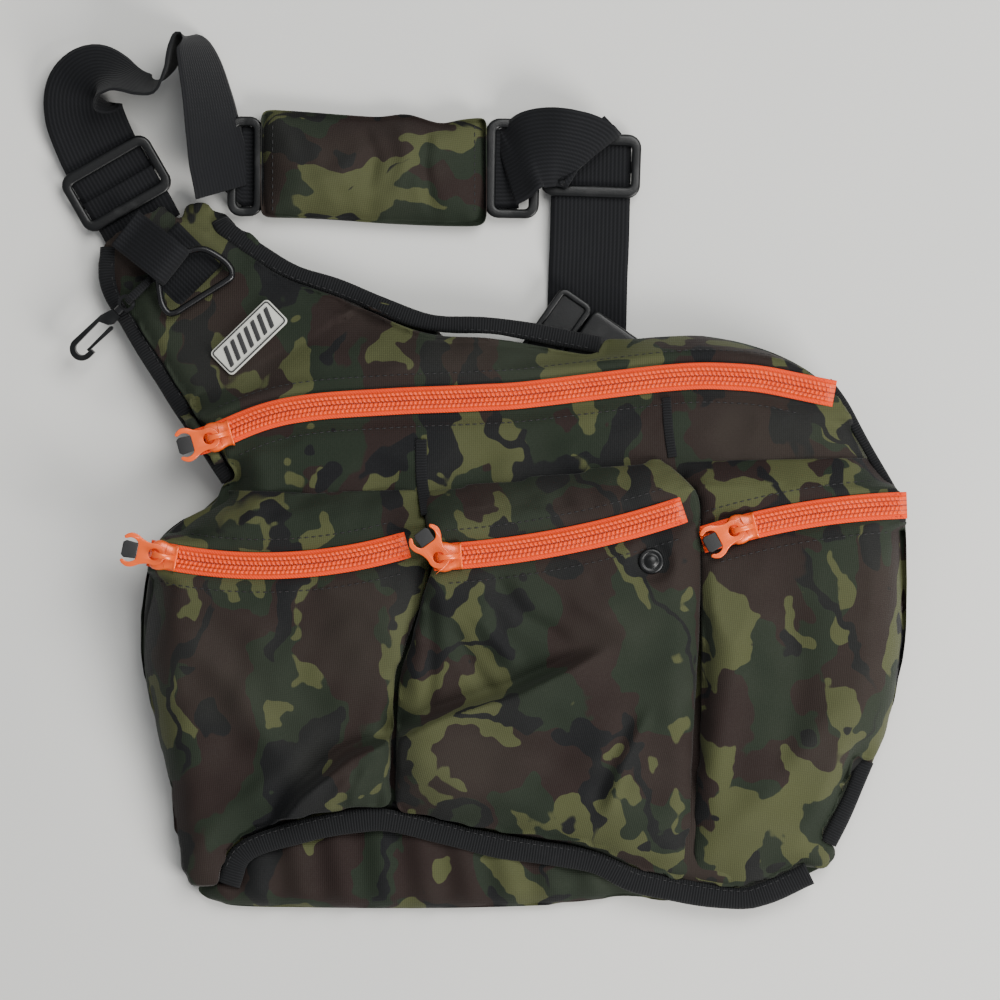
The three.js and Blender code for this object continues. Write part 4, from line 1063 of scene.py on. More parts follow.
def right_shape(points, up):
    """Long soft folds that fall from the zip to the side binding."""
    xy = points[:, :2]
    out = pocket_base(points, up)
    rise = ridge(xy, spots((0.76, 0.42), (0.77, 0.6), (0.74, 0.85)), 2.4, 7)
    rise += ridge(xy, spots((0.83, 0.4), (0.86, 0.6), (0.82, 0.85)), -2.0, 8)
    rise += ridge(xy, spots((0.93, 0.36), (0.95, 0.55), (0.9, 0.8)), 1.6, 8)
    rise += ridge(xy, spots((0.74, 0.9), (0.82, 0.8), (0.93, 0.62)), 1.6, 6)
    rise += ridge(xy, spots((0.735, 0.42), (0.735, 0.6), (0.725, 0.8)), -1.6, 3)
    rise += slack(xy, 31, 55, 1.6) + slack(xy, 32, 22, 0.5)
    above = xy[:, 1] > spot(0, 0.28)[1]
    rise = np.where(above, 0.6 * slack(xy, 33, 14, 0.8), rise)
    out = lift(out, up, rise)
    return zip_seat(out, up, "right")


# %% Pockets
pocket_shapes = {"left": left_shape, "middle": middle_shape, "right": right_shape}
soft = [front_panel]
for pocket_name, pocket_shape in pocket_shapes.items():
    node = f"pocket_{pocket_name}"
    mesh = swell((node,), 3.6, 4, 4)
    soft.append(shaped(f"{node}_cloth", (node,), mesh, pocket_shape, pocket_canvas[node], 2.1))

# %% [markdown]
# ## Gusset, back panel and shoulder pad
# The gusset is the slack strip of canvas below the bottom binding. The back panel lies flat on
# the table. The pad is a padded sleeve round the webbing: fat in the middle, flat at its sewn
# ends, with its long edges drawn in between them.


# %% Gusset, back and pad
def gusset_shape(points, up):
    """A thin roll of cloth with short upright folds, 20 mm apart."""
    xy = points[:, :2]
    out = rolled(points, outer_edge[60:], 4, 12)
    ripple = 1.1 * np.sin(xy[:, 0] / 20 * 2 * np.pi + 0.05 * xy[:, 1]) + slack(xy, 41, 34, 0.9)
    return lift(out, up, ripple)


pad_low, pad_high = corners("shoulder_pad")


def pad_shape(points, up):
    """Crowned across and along; the long edges draw in by a millimetre or two in the middle."""
    out = points.copy()
    middle = (pad_low + pad_high) / 2
    half = (pad_high - pad_low) / 2
    x = np.clip((points[:, 0] - middle[0]) / half[0], -1, 1)
    y = np.clip((points[:, 1] - middle[1]) / half[1], -1, 1)
    out[:, 1] -= 1.8 * np.sin(1.9 * x + 0.4) * y**2 + 1.2 * y * (1 - x**2)
    bump = np.exp(-(((x - 0.28) / 0.16) ** 2)) - 0.8 * np.exp(-(((x - 0.62) / 0.14) ** 2))
    out[:, 1] += 2.2 * bump * wave(0.3, 1, y)
    crown = 0.34 + 0.66 * np.sqrt(np.clip(1 - x**6, 0, 1)) * np.sqrt(np.clip(1 - 0.8 * y**4, 0, 1))
    top = pad_low[2] + (points[:, 2] - pad_low[2]) * crown
    out[:, 2] = points[:, 2] * (1 - up) + top * up
    xy = points[:, :2]
    folds = ridge(xy, middle[:2] + half[:2] * [(-0.9, -0.7), (-0.3, -0.1), (0.1, 0.8)], 1.5, 5)
    folds += ridge(xy, middle[:2] + half[:2] * [(-0.2, -0.9), (0.2, -0.2), (0.8, 0.4)], -1.3, 5)
    folds += ridge(xy, middle[:2] + half[:2] * [(0.5, 0.95), (0.46, 0.1), (0.52, -0.9)], -2.2, 3)
    folds += ridge(xy, middle[:2] + half[:2] * [(0.24, 0.95), (0.3, 0.2), (0.2, -0.5)], 1.8, 4)
    folds += ridge(xy, middle[:2] + half[:2] * [(-0.1, 0.9), (0.02, 0.2), (-0.06, -0.6)], -1.8, 3.5)
    folds += slack(xy, 51, 30, 0.8) + slack(xy, 52, 13, 0.25)
    return lift(out, up, folds * wave(1, 0.8, np.abs(x)))


gusset = shaped("bottom_gusset_cloth", ("bottom_gusset",), swell(("bottom_gusset",), 3, 3, 3),
                gusset_shape, body_canvas, 1.3, 0.2)
pad = shaped("shoulder_pad_sleeve", ("shoulder_pad",), swell(("shoulder_pad",), 2.6, 5, 3),
             pad_shape, pad_canvas, 1.3, 0.2)
soft += [gusset, pad]

# %% [markdown]
# ## Bindings
# A bound edge is a strip of grosgrain folded over the raw edges and sewn through. Its section
# is a flattened tube, and it wanders slightly in width. It is carried along the bound run, and
# the map along it gives the ribs their direction.


# %% Folded tape
def level_across(line):
    """Horizontal direction square to each step of a line."""
    along = unit(np.gradient(line, axis=0))
    return unit(np.stack([-along[:, 1], along[:, 0], 0 * along[:, 0]], 1))


def folded(width, height, count=20):
    """Section: |x / (width / 2)|^3 + |y / (height / 2)|^2.2 = 1, a rounded flat loop."""
    turn = np.linspace(0, 2 * np.pi, count, endpoint=False)
    c, s = np.cos(turn), np.sin(turn)
    x = np.sign(c) * np.abs(c) ** (2 / 3) * width / 2
    y = np.sign(s) * np.abs(s) ** (2 / 2.2) * height / 2
    return np.stack([x, y], 1)


def binding(name, run, width, height, stands_for=None, seed=1):
    """Carries the folded section along the run; its width waves by about 4 per cent."""
    line = even(run, max(24, int(lengths(run)[-1] / 2)))
    walked = lengths(line)
    swell_by = 1 + 0.04 * np.sin(walked / 13 + seed) + 0.03 * np.sin(walked / 5.3 + 2 * seed)
    section = folded(width, height)[None] * np.stack([swell_by, 1 + 0 * swell_by], 1)[:, None]
    line[:, 2] += 0.35 * np.sin(walked / 17 + seed)
    tape = sweep(name, line, level_across(line), section, black_tape)
    if stands_for:
        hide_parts(stands_for)
    return tape


top_tape = binding("binding_top_tape", bound["top"], 8.2, 4.6, "binding_top", 1)
neck_tape = binding("binding_neck_tape", bound["neck"], 8.2, 4.6, "binding_neck", 2)
bottom_tape = binding("binding_bottom_tape", bound["bottom"], 11, 4.4, "binding_bottom", 3)
binding("binding_side_tape", bound["side"], 8, 4.2, "binding_side", 4)
PIPING = spline(lifted([(0.9, 0.108, 27), (0.921, 0.145, 24), (0.94, 0.19, 22),
                        (0.96, 0.235, 21), (0.985, 0.29, 22)]), 40)
side_piping = binding("side_piping", PIPING, 4.6, 3.6, None, 5)
print("bindings", [round(len(t.data.polygons)) for t in (top_tape, neck_tape, bottom_tape)])

# %% [markdown]
# ## Zips
# A zip is a woven tape with a nylon coil sewn down its middle. Seen from above the coil is four
# rows of small beads: two rows of interlocked loops and a row of sewing on each side. It is one
# surface whose height is the product of a bump across each row and a bump along each bead, with
# every other row shifted by half a bead. The coil's own map, across and along, lets its finish
# paint shade into the grooves between the rows.


# %% Tapes and coils
DIP = {"main": 1.2, "left": 1.0, "middle": 1.0, "right": 0.8}


def flat_line(name, height, count):
    """The zip's line at one height, level but for its closed end, which dips under the edge."""
    line = even(zip_lines[name], count)
    left = lengths(line)[-1] - lengths(line)
    return np.column_stack([line, height - DIP[name] * wave(0, 9, 9 - left)])


def zip_tape(name):
    """A flat band, 12.6 mm wide, whose edges cup up by a few tenths."""
    low, high = corners(f"zip_tape_{name}")
    line = flat_line(name, (low[2] + high[2]) / 2, int(lengths(zip_lines[name])[-1] / 2))
    tape = sweep(f"zip_tape_{name}_cloth", line, level_across(line), band(12.6, 0.8, 22, -0.35),
                 orange_tape)
    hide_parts(f"zip_tape_{name}")
    return tape


BEAD = 2.1
ROW_PLACES = np.array([-3.35, -1.15, 1.15, 3.35])


def bead_height(across, along):
    """Height of the beads: the largest over four rows of (bump across) * (bump along)."""
    best = np.zeros(np.broadcast(across, along).shape)
    for row, place in enumerate(ROW_PLACES):
        outer_row = row in (0, 3)
        half = 0.95 if outer_row else 1.2
        wide = np.clip(1 - ((across - place) / half) ** 2, 0, 1)
        phase = along / BEAD + 0.5 * (row % 2) + (across - place) * (0.12 if place > 0 else -0.12)
        long = np.clip(1 - (2.1 * (phase - np.round(phase))) ** 2, 0, 1)
        best = np.maximum(best, (0.75 if outer_row else 1) * np.sqrt(wide * long))
    return best


def zip_coil(name):
    """Grid along and across the zip; z = base + 1.4 mm * bead height, closed underneath."""
    low, _ = corners(f"zip_coil_{name}")
    walked = lengths(zip_lines[name])[-1]
    count = int(walked / 0.3)
    line = flat_line(name, 0, count)
    side = level_across(line)
    across = np.linspace(-4.3, 4.3, 33)
    along = np.linspace(0, walked, count)[:, None]
    dip = line[:, 2:]
    stops = wave(1.5, 4, walked - along)
    height = low[2] + dip + 0.45 + 1.4 * bead_height(across[None], along) * stops
    height[:, [0, -1]] = low[2] + dip
    points = line[:, None] + side[:, None] * across[:, None]
    points[..., 2] = height
    under = points[:, ::-1].copy()
    under[..., 2] = low[2] + dip - 0.15
    under = under[:, [0, -1]]
    loop = np.concatenate([points, under], 1)
    faces = grid_faces(count, loop.shape[1], False, True)
    spread = np.concatenate([across, across[[-1, 0]]])
    sheet_map = np.stack([0 * along + spread, along + 0 * spread], -1)
    coil = build(f"zip_coil_{name}_beads", loop, faces, orange_coil, uv=sheet_map)
    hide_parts(f"zip_coil_{name}")
    return coil


tapes = [zip_tape(name) for name in ZIP_ENDS]
coils = [zip_coil(name) for name in ZIP_ENDS]
print("coil faces", [len(c.data.polygons) for c in coils])

# %% [markdown]
# ## Sliders and pullers
# The slider is a cast shield that rides over the coil: wide and round at the front, drawn in at
# the flanks and square at the tail, with a strap-like bridge over it. The puller is an anchor:
# a round eye on the bridge, a flat plate and two curved horns that hold a rubber block. Flat
# parts start as a filled outline with a bevelled edge; the slider and the bridge are sections
# carried along a line.


# %% Outlines with a bevelled edge
def outline_plate(outlines, thickness, bevel, steps=3):
    """Points and triangles of a plate cut to closed outlines, with rounded upper and lower edges."""
    curve = bpy.data.curves.new("outline", "CURVE")
    curve.dimensions = "2D"
    curve.fill_mode = "BOTH"
    curve.extrude = (thickness / 2 - bevel) * MM
    curve.bevel_depth = bevel * MM
    curve.bevel_resolution = steps
    curve.offset = -bevel * MM
    for outline in outlines:
        path = curve.splines.new("POLY")
        path.points.add(len(outline) - 1)
        flat = np.column_stack([outline * MM, np.zeros(len(outline)), np.ones(len(outline))])
        path.points.foreach_set("co", flat.astype(np.float32).ravel())
        path.use_cyclic_u = True
    thing = bpy.data.objects.new("outline", curve)
    bpy.context.scene.collection.objects.link(thing)
    weld = thing.modifiers.new("weld", "WELD")
    weld.merge_threshold = 0.000005
    mesh = evaluated(thing)
    bpy.data.objects.remove(thing)
    points = coordinates(mesh) / MM
    mesh.calc_loop_triangles()
    faces = np.zeros(len(mesh.loop_triangles) * 3, np.int32)
    mesh.loop_triangles.foreach_get("vertices", faces)
    return points, faces.reshape(-1, 3)


# %% Back panel
def inset(line, distance):
    """A closed outline, walked clockwise, moved inward by distance."""
    along = unit(np.roll(line, -1, 0) - np.roll(line, 1, 0))
    return line + distance * np.stack([along[:, 1], -along[:, 0]], 1)


def back_outline():
    """Neck, top edge, round the tunnel's notch, then the outer edge back to the neck."""
    notch_low, _ = corners("buckle_socket")
    drop_low, drop_high = corners("webbing_drop")
    left, right, deep = notch_low[0] - 30, drop_high[0] + 20, drop_low[1] - 2
    top = bound["top"][:, :2]
    top = top[top[:, 0] < left]
    notch = np.array([(left, deep), (right, deep), (right, BODY_TOP - 9)])
    neck = bound["neck"][::-1, :2]
    return np.vstack([top, notch, OUTER[1:-1], neck])


points, faces = outline_plate([inset(back_outline(), 1.5)], back_high[2] - 0.3, 0.9)
points[:, 2] += back_high[2] / 2
back_panel = build("back_panel_sheet", points, faces, neck_canvas)
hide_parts("back_panel")
print("back panel", len(faces), "triangles")


# %% Round outlines and places
def circle(x, y, radius, count=40, first=0.0, last=2 * np.pi):
    """(x + r cos t, y + r sin t) for t from first to last."""
    whole = abs(last - first) > 6.28
    turn = np.linspace(first, last, count, endpoint=not whole)
    return np.stack([x + radius * np.cos(turn), y + radius * np.sin(turn)], 1)


def curved(points, count=12):
    """A smooth open outline through the points."""
    return spline(np.asarray(points, float), count)


class Place:
    """A corner of the bag: where it is, and its own x and y directions in the bag's frame."""

    def __init__(self, at, x_way, up=(0, 0, 1)):
        self.at = np.asarray(at, float)
        self.up = unit(np.asarray(up, float))
        self.x = unit(np.asarray(x_way, float) - np.dot(x_way, self.up) * self.up)
        self.y = np.cross(self.up, self.x)

    def __call__(self, points):
        return self.at + points[:, :1] * self.x + points[:, 1:2] * self.y + points[:, 2:] * self.up


def place_swept(name, place, line, across, section, finish, body, closed=False):
    """sweep() in a place's own directions."""
    moved = place(np.asarray(line, float))
    turned = place(np.asarray(across, float)) - place.at
    return sweep(name, moved, turned, section, finish, body, closed)


# %% The slider's body and bridge
def slider_place(name):
    """At the slider's rest, with x along its travel."""
    joint = joints[f"slider_{name}_travel"]
    low, high = corners(f"slider_{name}")
    middle = np.array(joint["pos_m"]) / MM
    rest = (low + high) / 2
    out = rest[:2] - middle[:2]
    sense = np.sign(joint["axis"][2])
    way = sense * np.array([-out[1], out[0], 0])
    return Place([rest[0], rest[1], low[2]], way)


def slider_body(name):
    """Sections along x: a dome with side skirts, half width w(x), crest 3.7 mm over the tape."""
    place = slider_place(name)
    x = np.concatenate([[-6.5], np.linspace(-6.4, 6.4, 33), [6.5]])
    knots = [-6.5, -6.2, -5.4, -4, -2, 0, 2, 3.6, 5, 6.1, 6.5]
    half = np.interp(x, knots, [3.2, 4.6, 6.1, 6.9, 7.15, 6.8, 6.1, 5.75, 5.85, 6.4, 6.3])
    crest = np.interp(x, knots, [2.2, 2.9, 3.3, 3.6, 3.7, 3.65, 3.5, 3.35, 3.4, 3.9, 3.5])
    turn = np.linspace(0, np.pi, 19)
    cosine, sine = np.cos(turn), np.sin(turn)
    outer_y = np.sign(cosine) * np.abs(cosine) ** 0.62
    outer_z = sine**0.5
    wall = 1.2
    inner_y = np.array([-1, -1, 1, 1.0])
    inner_z = np.array([0, 1, 1, 0.0])
    y = np.concatenate([half[:, None] * outer_y, (half[:, None] - wall) * inner_y], 1)
    z = np.concatenate([crest[:, None] * outer_z, np.minimum(crest[:, None] - 0.9, 2.35) * inner_z], 1)
    line = np.stack([x, 0 * x, 0 * x], 1)
    across = np.tile([0.0, 1.0, 0.0], (len(x), 1))
    section = np.stack([y, z], -1)
    thing = place_swept(f"slider_{name}_body", place, line, across, section, orange_enamel,
                        f"slider_{name}")
    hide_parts(f"slider_{name}")
    return thing


def slider_bridge(name):
    """A flat strap that rises, runs level over the shield and comes down at the tail."""
    place = slider_place(name)
    line = spline([(-4.5, 0, 2.6), (-5.0, 0, 5.2), (-4.1, 0, 8.3), (-2.0, 0, 9.5), (1.0, 0, 9.4),
                   (3.6, 0, 8.0), (4.9, 0, 5.4), (4.7, 0, 2.8)], 44)
    across = np.tile([0.0, 1.0, 0.0], (len(line), 1))
    wide = 3.2 - 0.7 * np.sin(np.linspace(0, np.pi, len(line))) ** 2
    section = rounded(1, 1.5, 0.6)[None] * np.stack([wide, np.ones(len(line))], 1)[:, None]
    return place_swept(f"slider_{name}_bridge", place, line, across, section, orange_enamel,
                       f"slider_{name}")


# %% The anchor puller and its rubber
def anchor_outlines():
    """Round eye at the bridge's leg, straight plate, two horns that curve outward and back."""
    upper = np.vstack([
        circle(-4.4, 0, 5.2, 16, -np.pi * 0.05, np.pi * 0.5),
        curved([(-5.6, 5.0), (-7.5, 5.1), (-10.4, 6.0), (-13.2, 7.6), (-16.2, 8.1), (-18.6, 7.0)], 16),
        curved([(-19.6, 5.9), (-19.2, 5.0), (-18.2, 5.0), (-16.4, 5.7), (-14.2, 5.3), (-12.8, 4.2)], 14),
        [(-12.4, 3.0), (-12.4, 0.4)],
    ])
    lower = upper[::-1] * [1, -1]
    return [np.vstack([upper, lower]), circle(-4.4, 0, 2.6, 28)[::-1]]


def block_outline():
    """The rubber block between the horns, with clipped outer corners."""
    return [np.array([(-12.6, -3.7), (-12.6, 3.7), (-18.2, 4.1), (-19.6, 3.0), (-19.6, -3.0),
                      (-18.2, -4.1)])]


PULL_TURN = {"main": 0, "left": 0, "middle": -58, "right": 14}
BRIDGE_REACH = 4.4


def hang_puller(name):
    """Turns the flat parts about the bridge's leg by the way this puller happens to point."""
    slider_at = slider_place(name)
    low, high = corners(f"puller_{name}")
    level = (low[2] + high[2]) / 2
    turn = np.radians(PULL_TURN[name])
    cut = np.array([[np.cos(turn), np.sin(turn), 0], [-np.sin(turn), np.cos(turn), 0], [0, 0, 1]])
    leg = np.array([BRIDGE_REACH, 0, 0])
    body = f"puller_{name}"
    slider_at.at[2] = level
    points, faces = outline_plate(anchor_outlines(), 1.5, 0.35)
    dish = 0.25 * wave(10, 17, -points[:, 0])
    points[:, 2] += dish
    plate = build(f"puller_{name}_anchor", slider_at((points + leg) @ cut - leg), faces,
                  orange_enamel, body)
    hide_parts(f"puller_{name}")
    points, faces = outline_plate(block_outline(), 2.4, 0.45)
    block = build(f"puller_{name}_rubber", slider_at((points + leg) @ cut - leg), faces,
                  black_rubber, body)
    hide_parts(f"grip_{name}")


for zip_name in ZIP_ENDS:
    slider_body(zip_name)
    slider_bridge(zip_name)
    hang_puller(zip_name)
print("sliders done")

# %% [markdown]
# ## Strap fittings
# The webbing runs through flat three-bar slides of black acetal: an outer frame with rounded
# corners, over the webbing, and a middle bar. The frame is a soft-cornered section
# carried round a rounded rectangle, dished a little so that the end bars stand up.


# %% Three-bar slides
def loop_line(length, width, radius, count=96):
    """Rounded rectangle walked once round, as (count, 3) points, without repeating the first."""
    line = rounded(length, width, radius, 10)
    line = np.vstack([line, line[:1]])
    return np.column_stack([even(np.column_stack([line, 0 * line[:, 0]]), count + 1)[:-1]])


SLIDE_PLAN = (48.0, 31.0)


def three_bar(name, node, turn, body="bag", bar=5.6, plan=None):
    """Frame, middle bar and two cheeks, as long and as wide as the CAD slide.

    A w by l rectangle turned by an angle fills a box of w c + l s by w s + l c; unless `plan`
    gives w and l, they are worked out from that box.
    """
    low, high = corners(node)
    middle = (low + high) / 2
    size = high - low
    if plan is None:
        c, s = abs(np.cos(np.radians(turn))), abs(np.sin(np.radians(turn)))
        plan = np.array([size[0] * c - size[1] * s, size[1] * c - size[0] * s]) / (c * c - s * s)
    width, length = plan
    way = (np.cos(np.radians(turn)), np.sin(np.radians(turn)), 0)
    place = Place([middle[0], middle[1], low[2]], way)
    line = loop_line(width - 4.6, length - bar, 4.2)
    tall = high[2] - low[2]
    line[:, 2] = tall - 2.1 + 0.5 * np.abs(line[:, 1]) / (length / 2)
    along = unit(np.roll(line, -1, 0) - np.roll(line, 1, 0))
    out = np.cross(along, [0, 0, 1.0])
    share = np.abs(along[:, 0])
    wide = 4.4 * (1 - share) + bar * share
    section = rounded(1, 1, 0.32, 4)[None] * np.stack([wide, 3.0 + 0 * wide], 1)[:, None]
    frame_piece = place_swept(name, place, line, out, section, black_acetal, body, closed=True)
    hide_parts(node)
    rod = np.stack([np.linspace(-width / 2 + 2, width / 2 - 2, 60), np.zeros(60), np.full(60, 1.3)], 1)
    sideways = np.tile([0.0, 1.0, 0.0], (60, 1))
    place_swept(f"{name}_bar", place, rod, sideways, rounded(bar, 2.2, 0.9, 4), black_acetal, body)
    for side in (-1, 1):
        cheek = np.array([[side * (width / 2 - 2.2), y, tall * 0.47] for y in np.linspace(-3.6, 3.6, 8)])
        lie = np.tile([1.0, 0.0, 0.0], (8, 1))
        place_swept(f"{name}_cheek_{'right' if side > 0 else 'left'}", place, cheek, lie,
                    rounded(3.6, tall * 0.8, 1), black_acetal, body)
    return place


three_bar("neck_slide", "adjuster_neck", 30, plan=SLIDE_PLAN)
three_bar("pad_slide_left", "adjuster_pad_left", 90, bar=4.4)
three_bar("pad_slide_right", "adjuster_pad_right", 89, bar=5)
three_bar("drop_slide", "adjuster_drop", -2, "adjuster_drop")

# %% [markdown]
# ## The webbing strap
# One length of 38 mm webbing goes up from the neck, stands on its edge round the corner, folds
# over and comes down to the pad; another leaves the pad, turns over on a slanted fold and goes
# through a slide to the buckle under the top edge. Webbing bends along its length but hardly
# across it, so each run is a flat section carried along a smooth line while the direction
# across it turns.


# %% Webbing runs
def lie(turn, tilt=0.0):
    """Direction across the tape: `turn` degrees in plan, raised by `tilt` degrees."""
    turn, tilt = np.radians(turn), np.radians(tilt)
    return [np.cos(tilt) * np.cos(turn), np.cos(tilt) * np.sin(turn), np.sin(tilt)]


def strap_run(name, stations, stands_for=None, width=38.0, body="bag", thickness=1.5):
    """Stations are (x, y, z, turn, tilt) in mm and degrees; places and directions are splined."""
    stations = np.array(stations, float)
    across = np.array([lie(turn, tilt) for turn, tilt in stations[:, 3:]])
    both = np.hstack([stations[:, :3], across])
    length = lengths(stations[:, :3])[-1]
    run = spline(both, int(length / 1.3) + 6)
    tape = sweep(name, run[:, :3], unit(run[:, 3:]), band(width, thickness, 20), black_webbing,
                 body)
    if stands_for:
        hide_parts(*([stands_for] if isinstance(stands_for, str) else stands_for))
    return tape


def middle_of(node):
    """The middle of a CAD node's box, in millimetres."""
    low, high = corners(node)
    return (low + high) / 2


neck_slide = middle_of("adjuster_neck")
left_slide = middle_of("adjuster_pad_left")
right_slide = middle_of("adjuster_pad_right")
drop_slide = middle_of("adjuster_drop")
flat_level = neck_slide[2] - 0.5


def near(point, dx, dy, z, turn, tilt=0.0):
    """A station dx, dy from a fitting's middle."""
    return (point[0] + dx, point[1] + dy, z, turn, tilt)


strap_run("neck_webbing", [
    near(neck_slide, 13.5, -23.5, 3.9, 30),
    near(neck_slide, 9, -15, 4.0, 30),
    near(neck_slide, 4, -7, flat_level + 1.2, 30),
    near(neck_slide, 0.3, -0.6, flat_level + 1.7, 30),
], "webbing_neck")
strap_run("corner_webbing", [
    near(neck_slide, 0.5, -1, flat_level - 0.4, 30),
    near(neck_slide, -6.5, 11, flat_level, 29),
    near(neck_slide, -12, 23, 6, 23, 2),
    near(neck_slide, -15.5, 33.5, 8, 14, 4),
    near(neck_slide, -15.2, 43, 10.5, 0, 12),
    near(neck_slide, -9.5, 49.5, 14.5, -30, 36),
    near(neck_slide, 1.5, 50, 19, -66, 58),
    near(neck_slide, 13, 46.5, 20.5, -86, 68),
    near(neck_slide, 20, 46.5, 20.5, -102, 74),
    near(neck_slide, 26, 54, 20.5, -122, 79),
    near(neck_slide, 29.5, 64, 20.5, -150, 80),
    near(neck_slide, 33, 68.5, 20.5, -170, 74),
    near(neck_slide, 37, 66, 20.5, -178, 66),
    near(neck_slide, 41, 55, 20.5, -183, 58),
    near(neck_slide, 44.5, 40, 20.5, -187, 53),
    near(neck_slide, 47.5, 22, 18.5, -190, 48),
    near(neck_slide, 50, 8, 15.5, -193, 44),
    near(neck_slide, 52.5, -4, 13.5, -194, 42),
], "webbing_loop")
strap_run("pad_webbing", [
    near(left_slide, -2, 0, flat_level, 90),
    near(left_slide, 8, 0, flat_level, 90),
    near(right_slide, -20, 0, flat_level, 90),
    near(right_slide, 3, 0, flat_level, 90),
], "webbing_pad")
strap_run("twist_webbing", [
    near(right_slide, -3.5, 0, flat_level + 1.8, 88),
    near(right_slide, 1.5, 2.5, 9.5, 84, 3),
    near(right_slide, 9, 8, 14.5, 74, 9),
    near(right_slide, 20, 9.5, 17.5, 60, 12),
    near(right_slide, 30, 8, 16.5, 48, 8),
    near(right_slide, 36, 5.6, 14.6, 40.5, 1),
    near(right_slide, 37, 4.4, 12.9, 40, 0),
    near(right_slide, 35.4, 6.2, 11.3, 40, 0),
    near(right_slide, 30, 12, 10.6, 40, 0),
], "webbing_twist")
drop_low, drop_high = corners("webbing_drop")
strap_run("drop_webbing", [
    near(drop_slide, 0.4, 12, flat_level, -2),
    near(drop_slide, 0, -6, flat_level, -2),
    near(drop_slide, -0.8, -38, flat_level, -1.5),
    near(drop_slide, -1.6, -60, 2.0, -1),
    (drop_slide[0] - 3, drop_low[1] + 2, 1.3, 0, 0),
], "webbing_drop")
print("strap", [round(v, 1) for v in neck_slide])

# %% [markdown]
# ## Buckle, ring and hook
# The side-release buckle is half hidden under the top edge: a socket with a recessed window and
# thin ribs, and the plug that goes into it. The ring is bent from round wire: its straight bar
# faces the bag and its bow passes through a loop of narrower webbing. The swivel hook hangs at
# the edge of the neck from a little loop of its own.


# %% Side-release buckle
buckle_way = -np.array(joints["buckle_release"]["axis"])
socket_middle = middle_of("buckle_socket")
plug_middle = middle_of("buckle_plug")
socket_low, socket_high = corners("buckle_socket")
half_tall = (socket_high[2] - socket_low[2]) / 2
buckle_at = Place(socket_middle, buckle_way)
BUCKLE_WIDTH = 46.0
SOCKET_LENGTH = 18.7
PLUG_LENGTH = 32.0

def ring_of(name, place, length, width, radius, bar_x, tall, finish, body, lift_by=0.0):
    """A frame: a rounded bar carried round a rounded rectangle."""
    line = loop_line(length - bar_x, width - bar_x, radius)
    line[:, 2] = lift_by
    along = unit(np.roll(line, -1, 0) - np.roll(line, 1, 0))
    out = np.cross(along, [0, 0, 1.0])
    return place_swept(name, place, line, out, rounded(bar_x, tall, 0.8, 3), finish, body, True)


socket_frame = ring_of("buckle_socket_rim", buckle_at, SOCKET_LENGTH, BUCKLE_WIDTH, 2.4, 3.0,
                       2 * half_tall, black_acetal, "buckle_socket")
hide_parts("buckle_socket")
floor_points, floor_faces = outline_plate([rounded(SOCKET_LENGTH - 3, BUCKLE_WIDTH - 3, 1.5, 5)], 1.2, 0.2)
floor_points[:, 2] += 2.4
build("buckle_socket_floor", buckle_at(floor_points), floor_faces, black_acetal, "buckle_socket")
for offset in (-2.4, 2.4):
    rib = np.stack([np.linspace(-SOCKET_LENGTH / 2 + 3, SOCKET_LENGTH / 2 - 3, 12),
                    np.full(12, offset), np.full(12, 3.2)], 1)
    place_swept(f"buckle_rib_{'upper' if offset > 0 else 'lower'}", buckle_at, rib,
                np.tile([0, 1.0, 0], (12, 1)), rounded(0.8, 0.8, 0.3), black_acetal, "buckle_socket")
plug_at = Place([plug_middle[0], plug_middle[1], socket_middle[2]], buckle_way)
plug_at.at = buckle_at.at + buckle_at.x * (SOCKET_LENGTH / 2 + 0.6 + PLUG_LENGTH / 2)
plug_points, plug_faces = outline_plate([rounded(PLUG_LENGTH, BUCKLE_WIDTH, 3, 6)], 2 * half_tall, 1.4)
plug = build("buckle_plug_block", plug_at(plug_points), plug_faces, black_acetal)
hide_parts("buckle_plug")
for node in ("buckle_prong_upper", "buckle_prong_lower"):
    nodes[node].data.materials.clear()
    nodes[node].data.materials.append(black_acetal)
print("buckle", [round(v, 1) for v in buckle_at.at])

# %% Ring, its tab, and the hook
ring_low, ring_high = corners("d_ring")
ring_middle = (ring_low + ring_high) / 2
RING_TURN = 32.3
ring_at = Place([ring_middle[0], ring_middle[1], ring_middle[2]],
                (np.cos(np.radians(RING_TURN)), np.sin(np.radians(RING_TURN)), 0))


def bow_line(width, depth, count=120):
    """Straight bar with rounded corners, then an egg-shaped bow, walked once round."""
    half = width / 2
    bar = np.array([(-half + 4, 0), (0, 0), (half - 4, 0)])
    right = np.array([(half - 1, 1.2), (half, 4.4), (half * 0.94, depth * 0.45),
                      (half * 0.68, depth * 0.84), (half * 0.3, depth * 0.985)])
    left = right[::-1] * [-1, 1]
    line = np.vstack([bar, right, [(0, depth)], left, bar[:1]])
    curve = spline(line, count + 1)[:-1]
    return np.column_stack([curve[:, 0], curve[:, 1] - depth / 2, 0 * curve[:, 0]])


WIRE = ring_high[2] - ring_low[2]
ring_line = bow_line(40 - WIRE, 25 - WIRE)
ring_out = np.cross(unit(np.roll(ring_line, -1, 0) - np.roll(ring_line, 1, 0)), [0, 0, 1.0])
d_ring = place_swept("d_ring_wire", ring_at, ring_line, ring_out, circle(0, 0, WIRE / 2, 14),
                     black_enamel, "ring", closed=True)
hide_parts("d_ring")

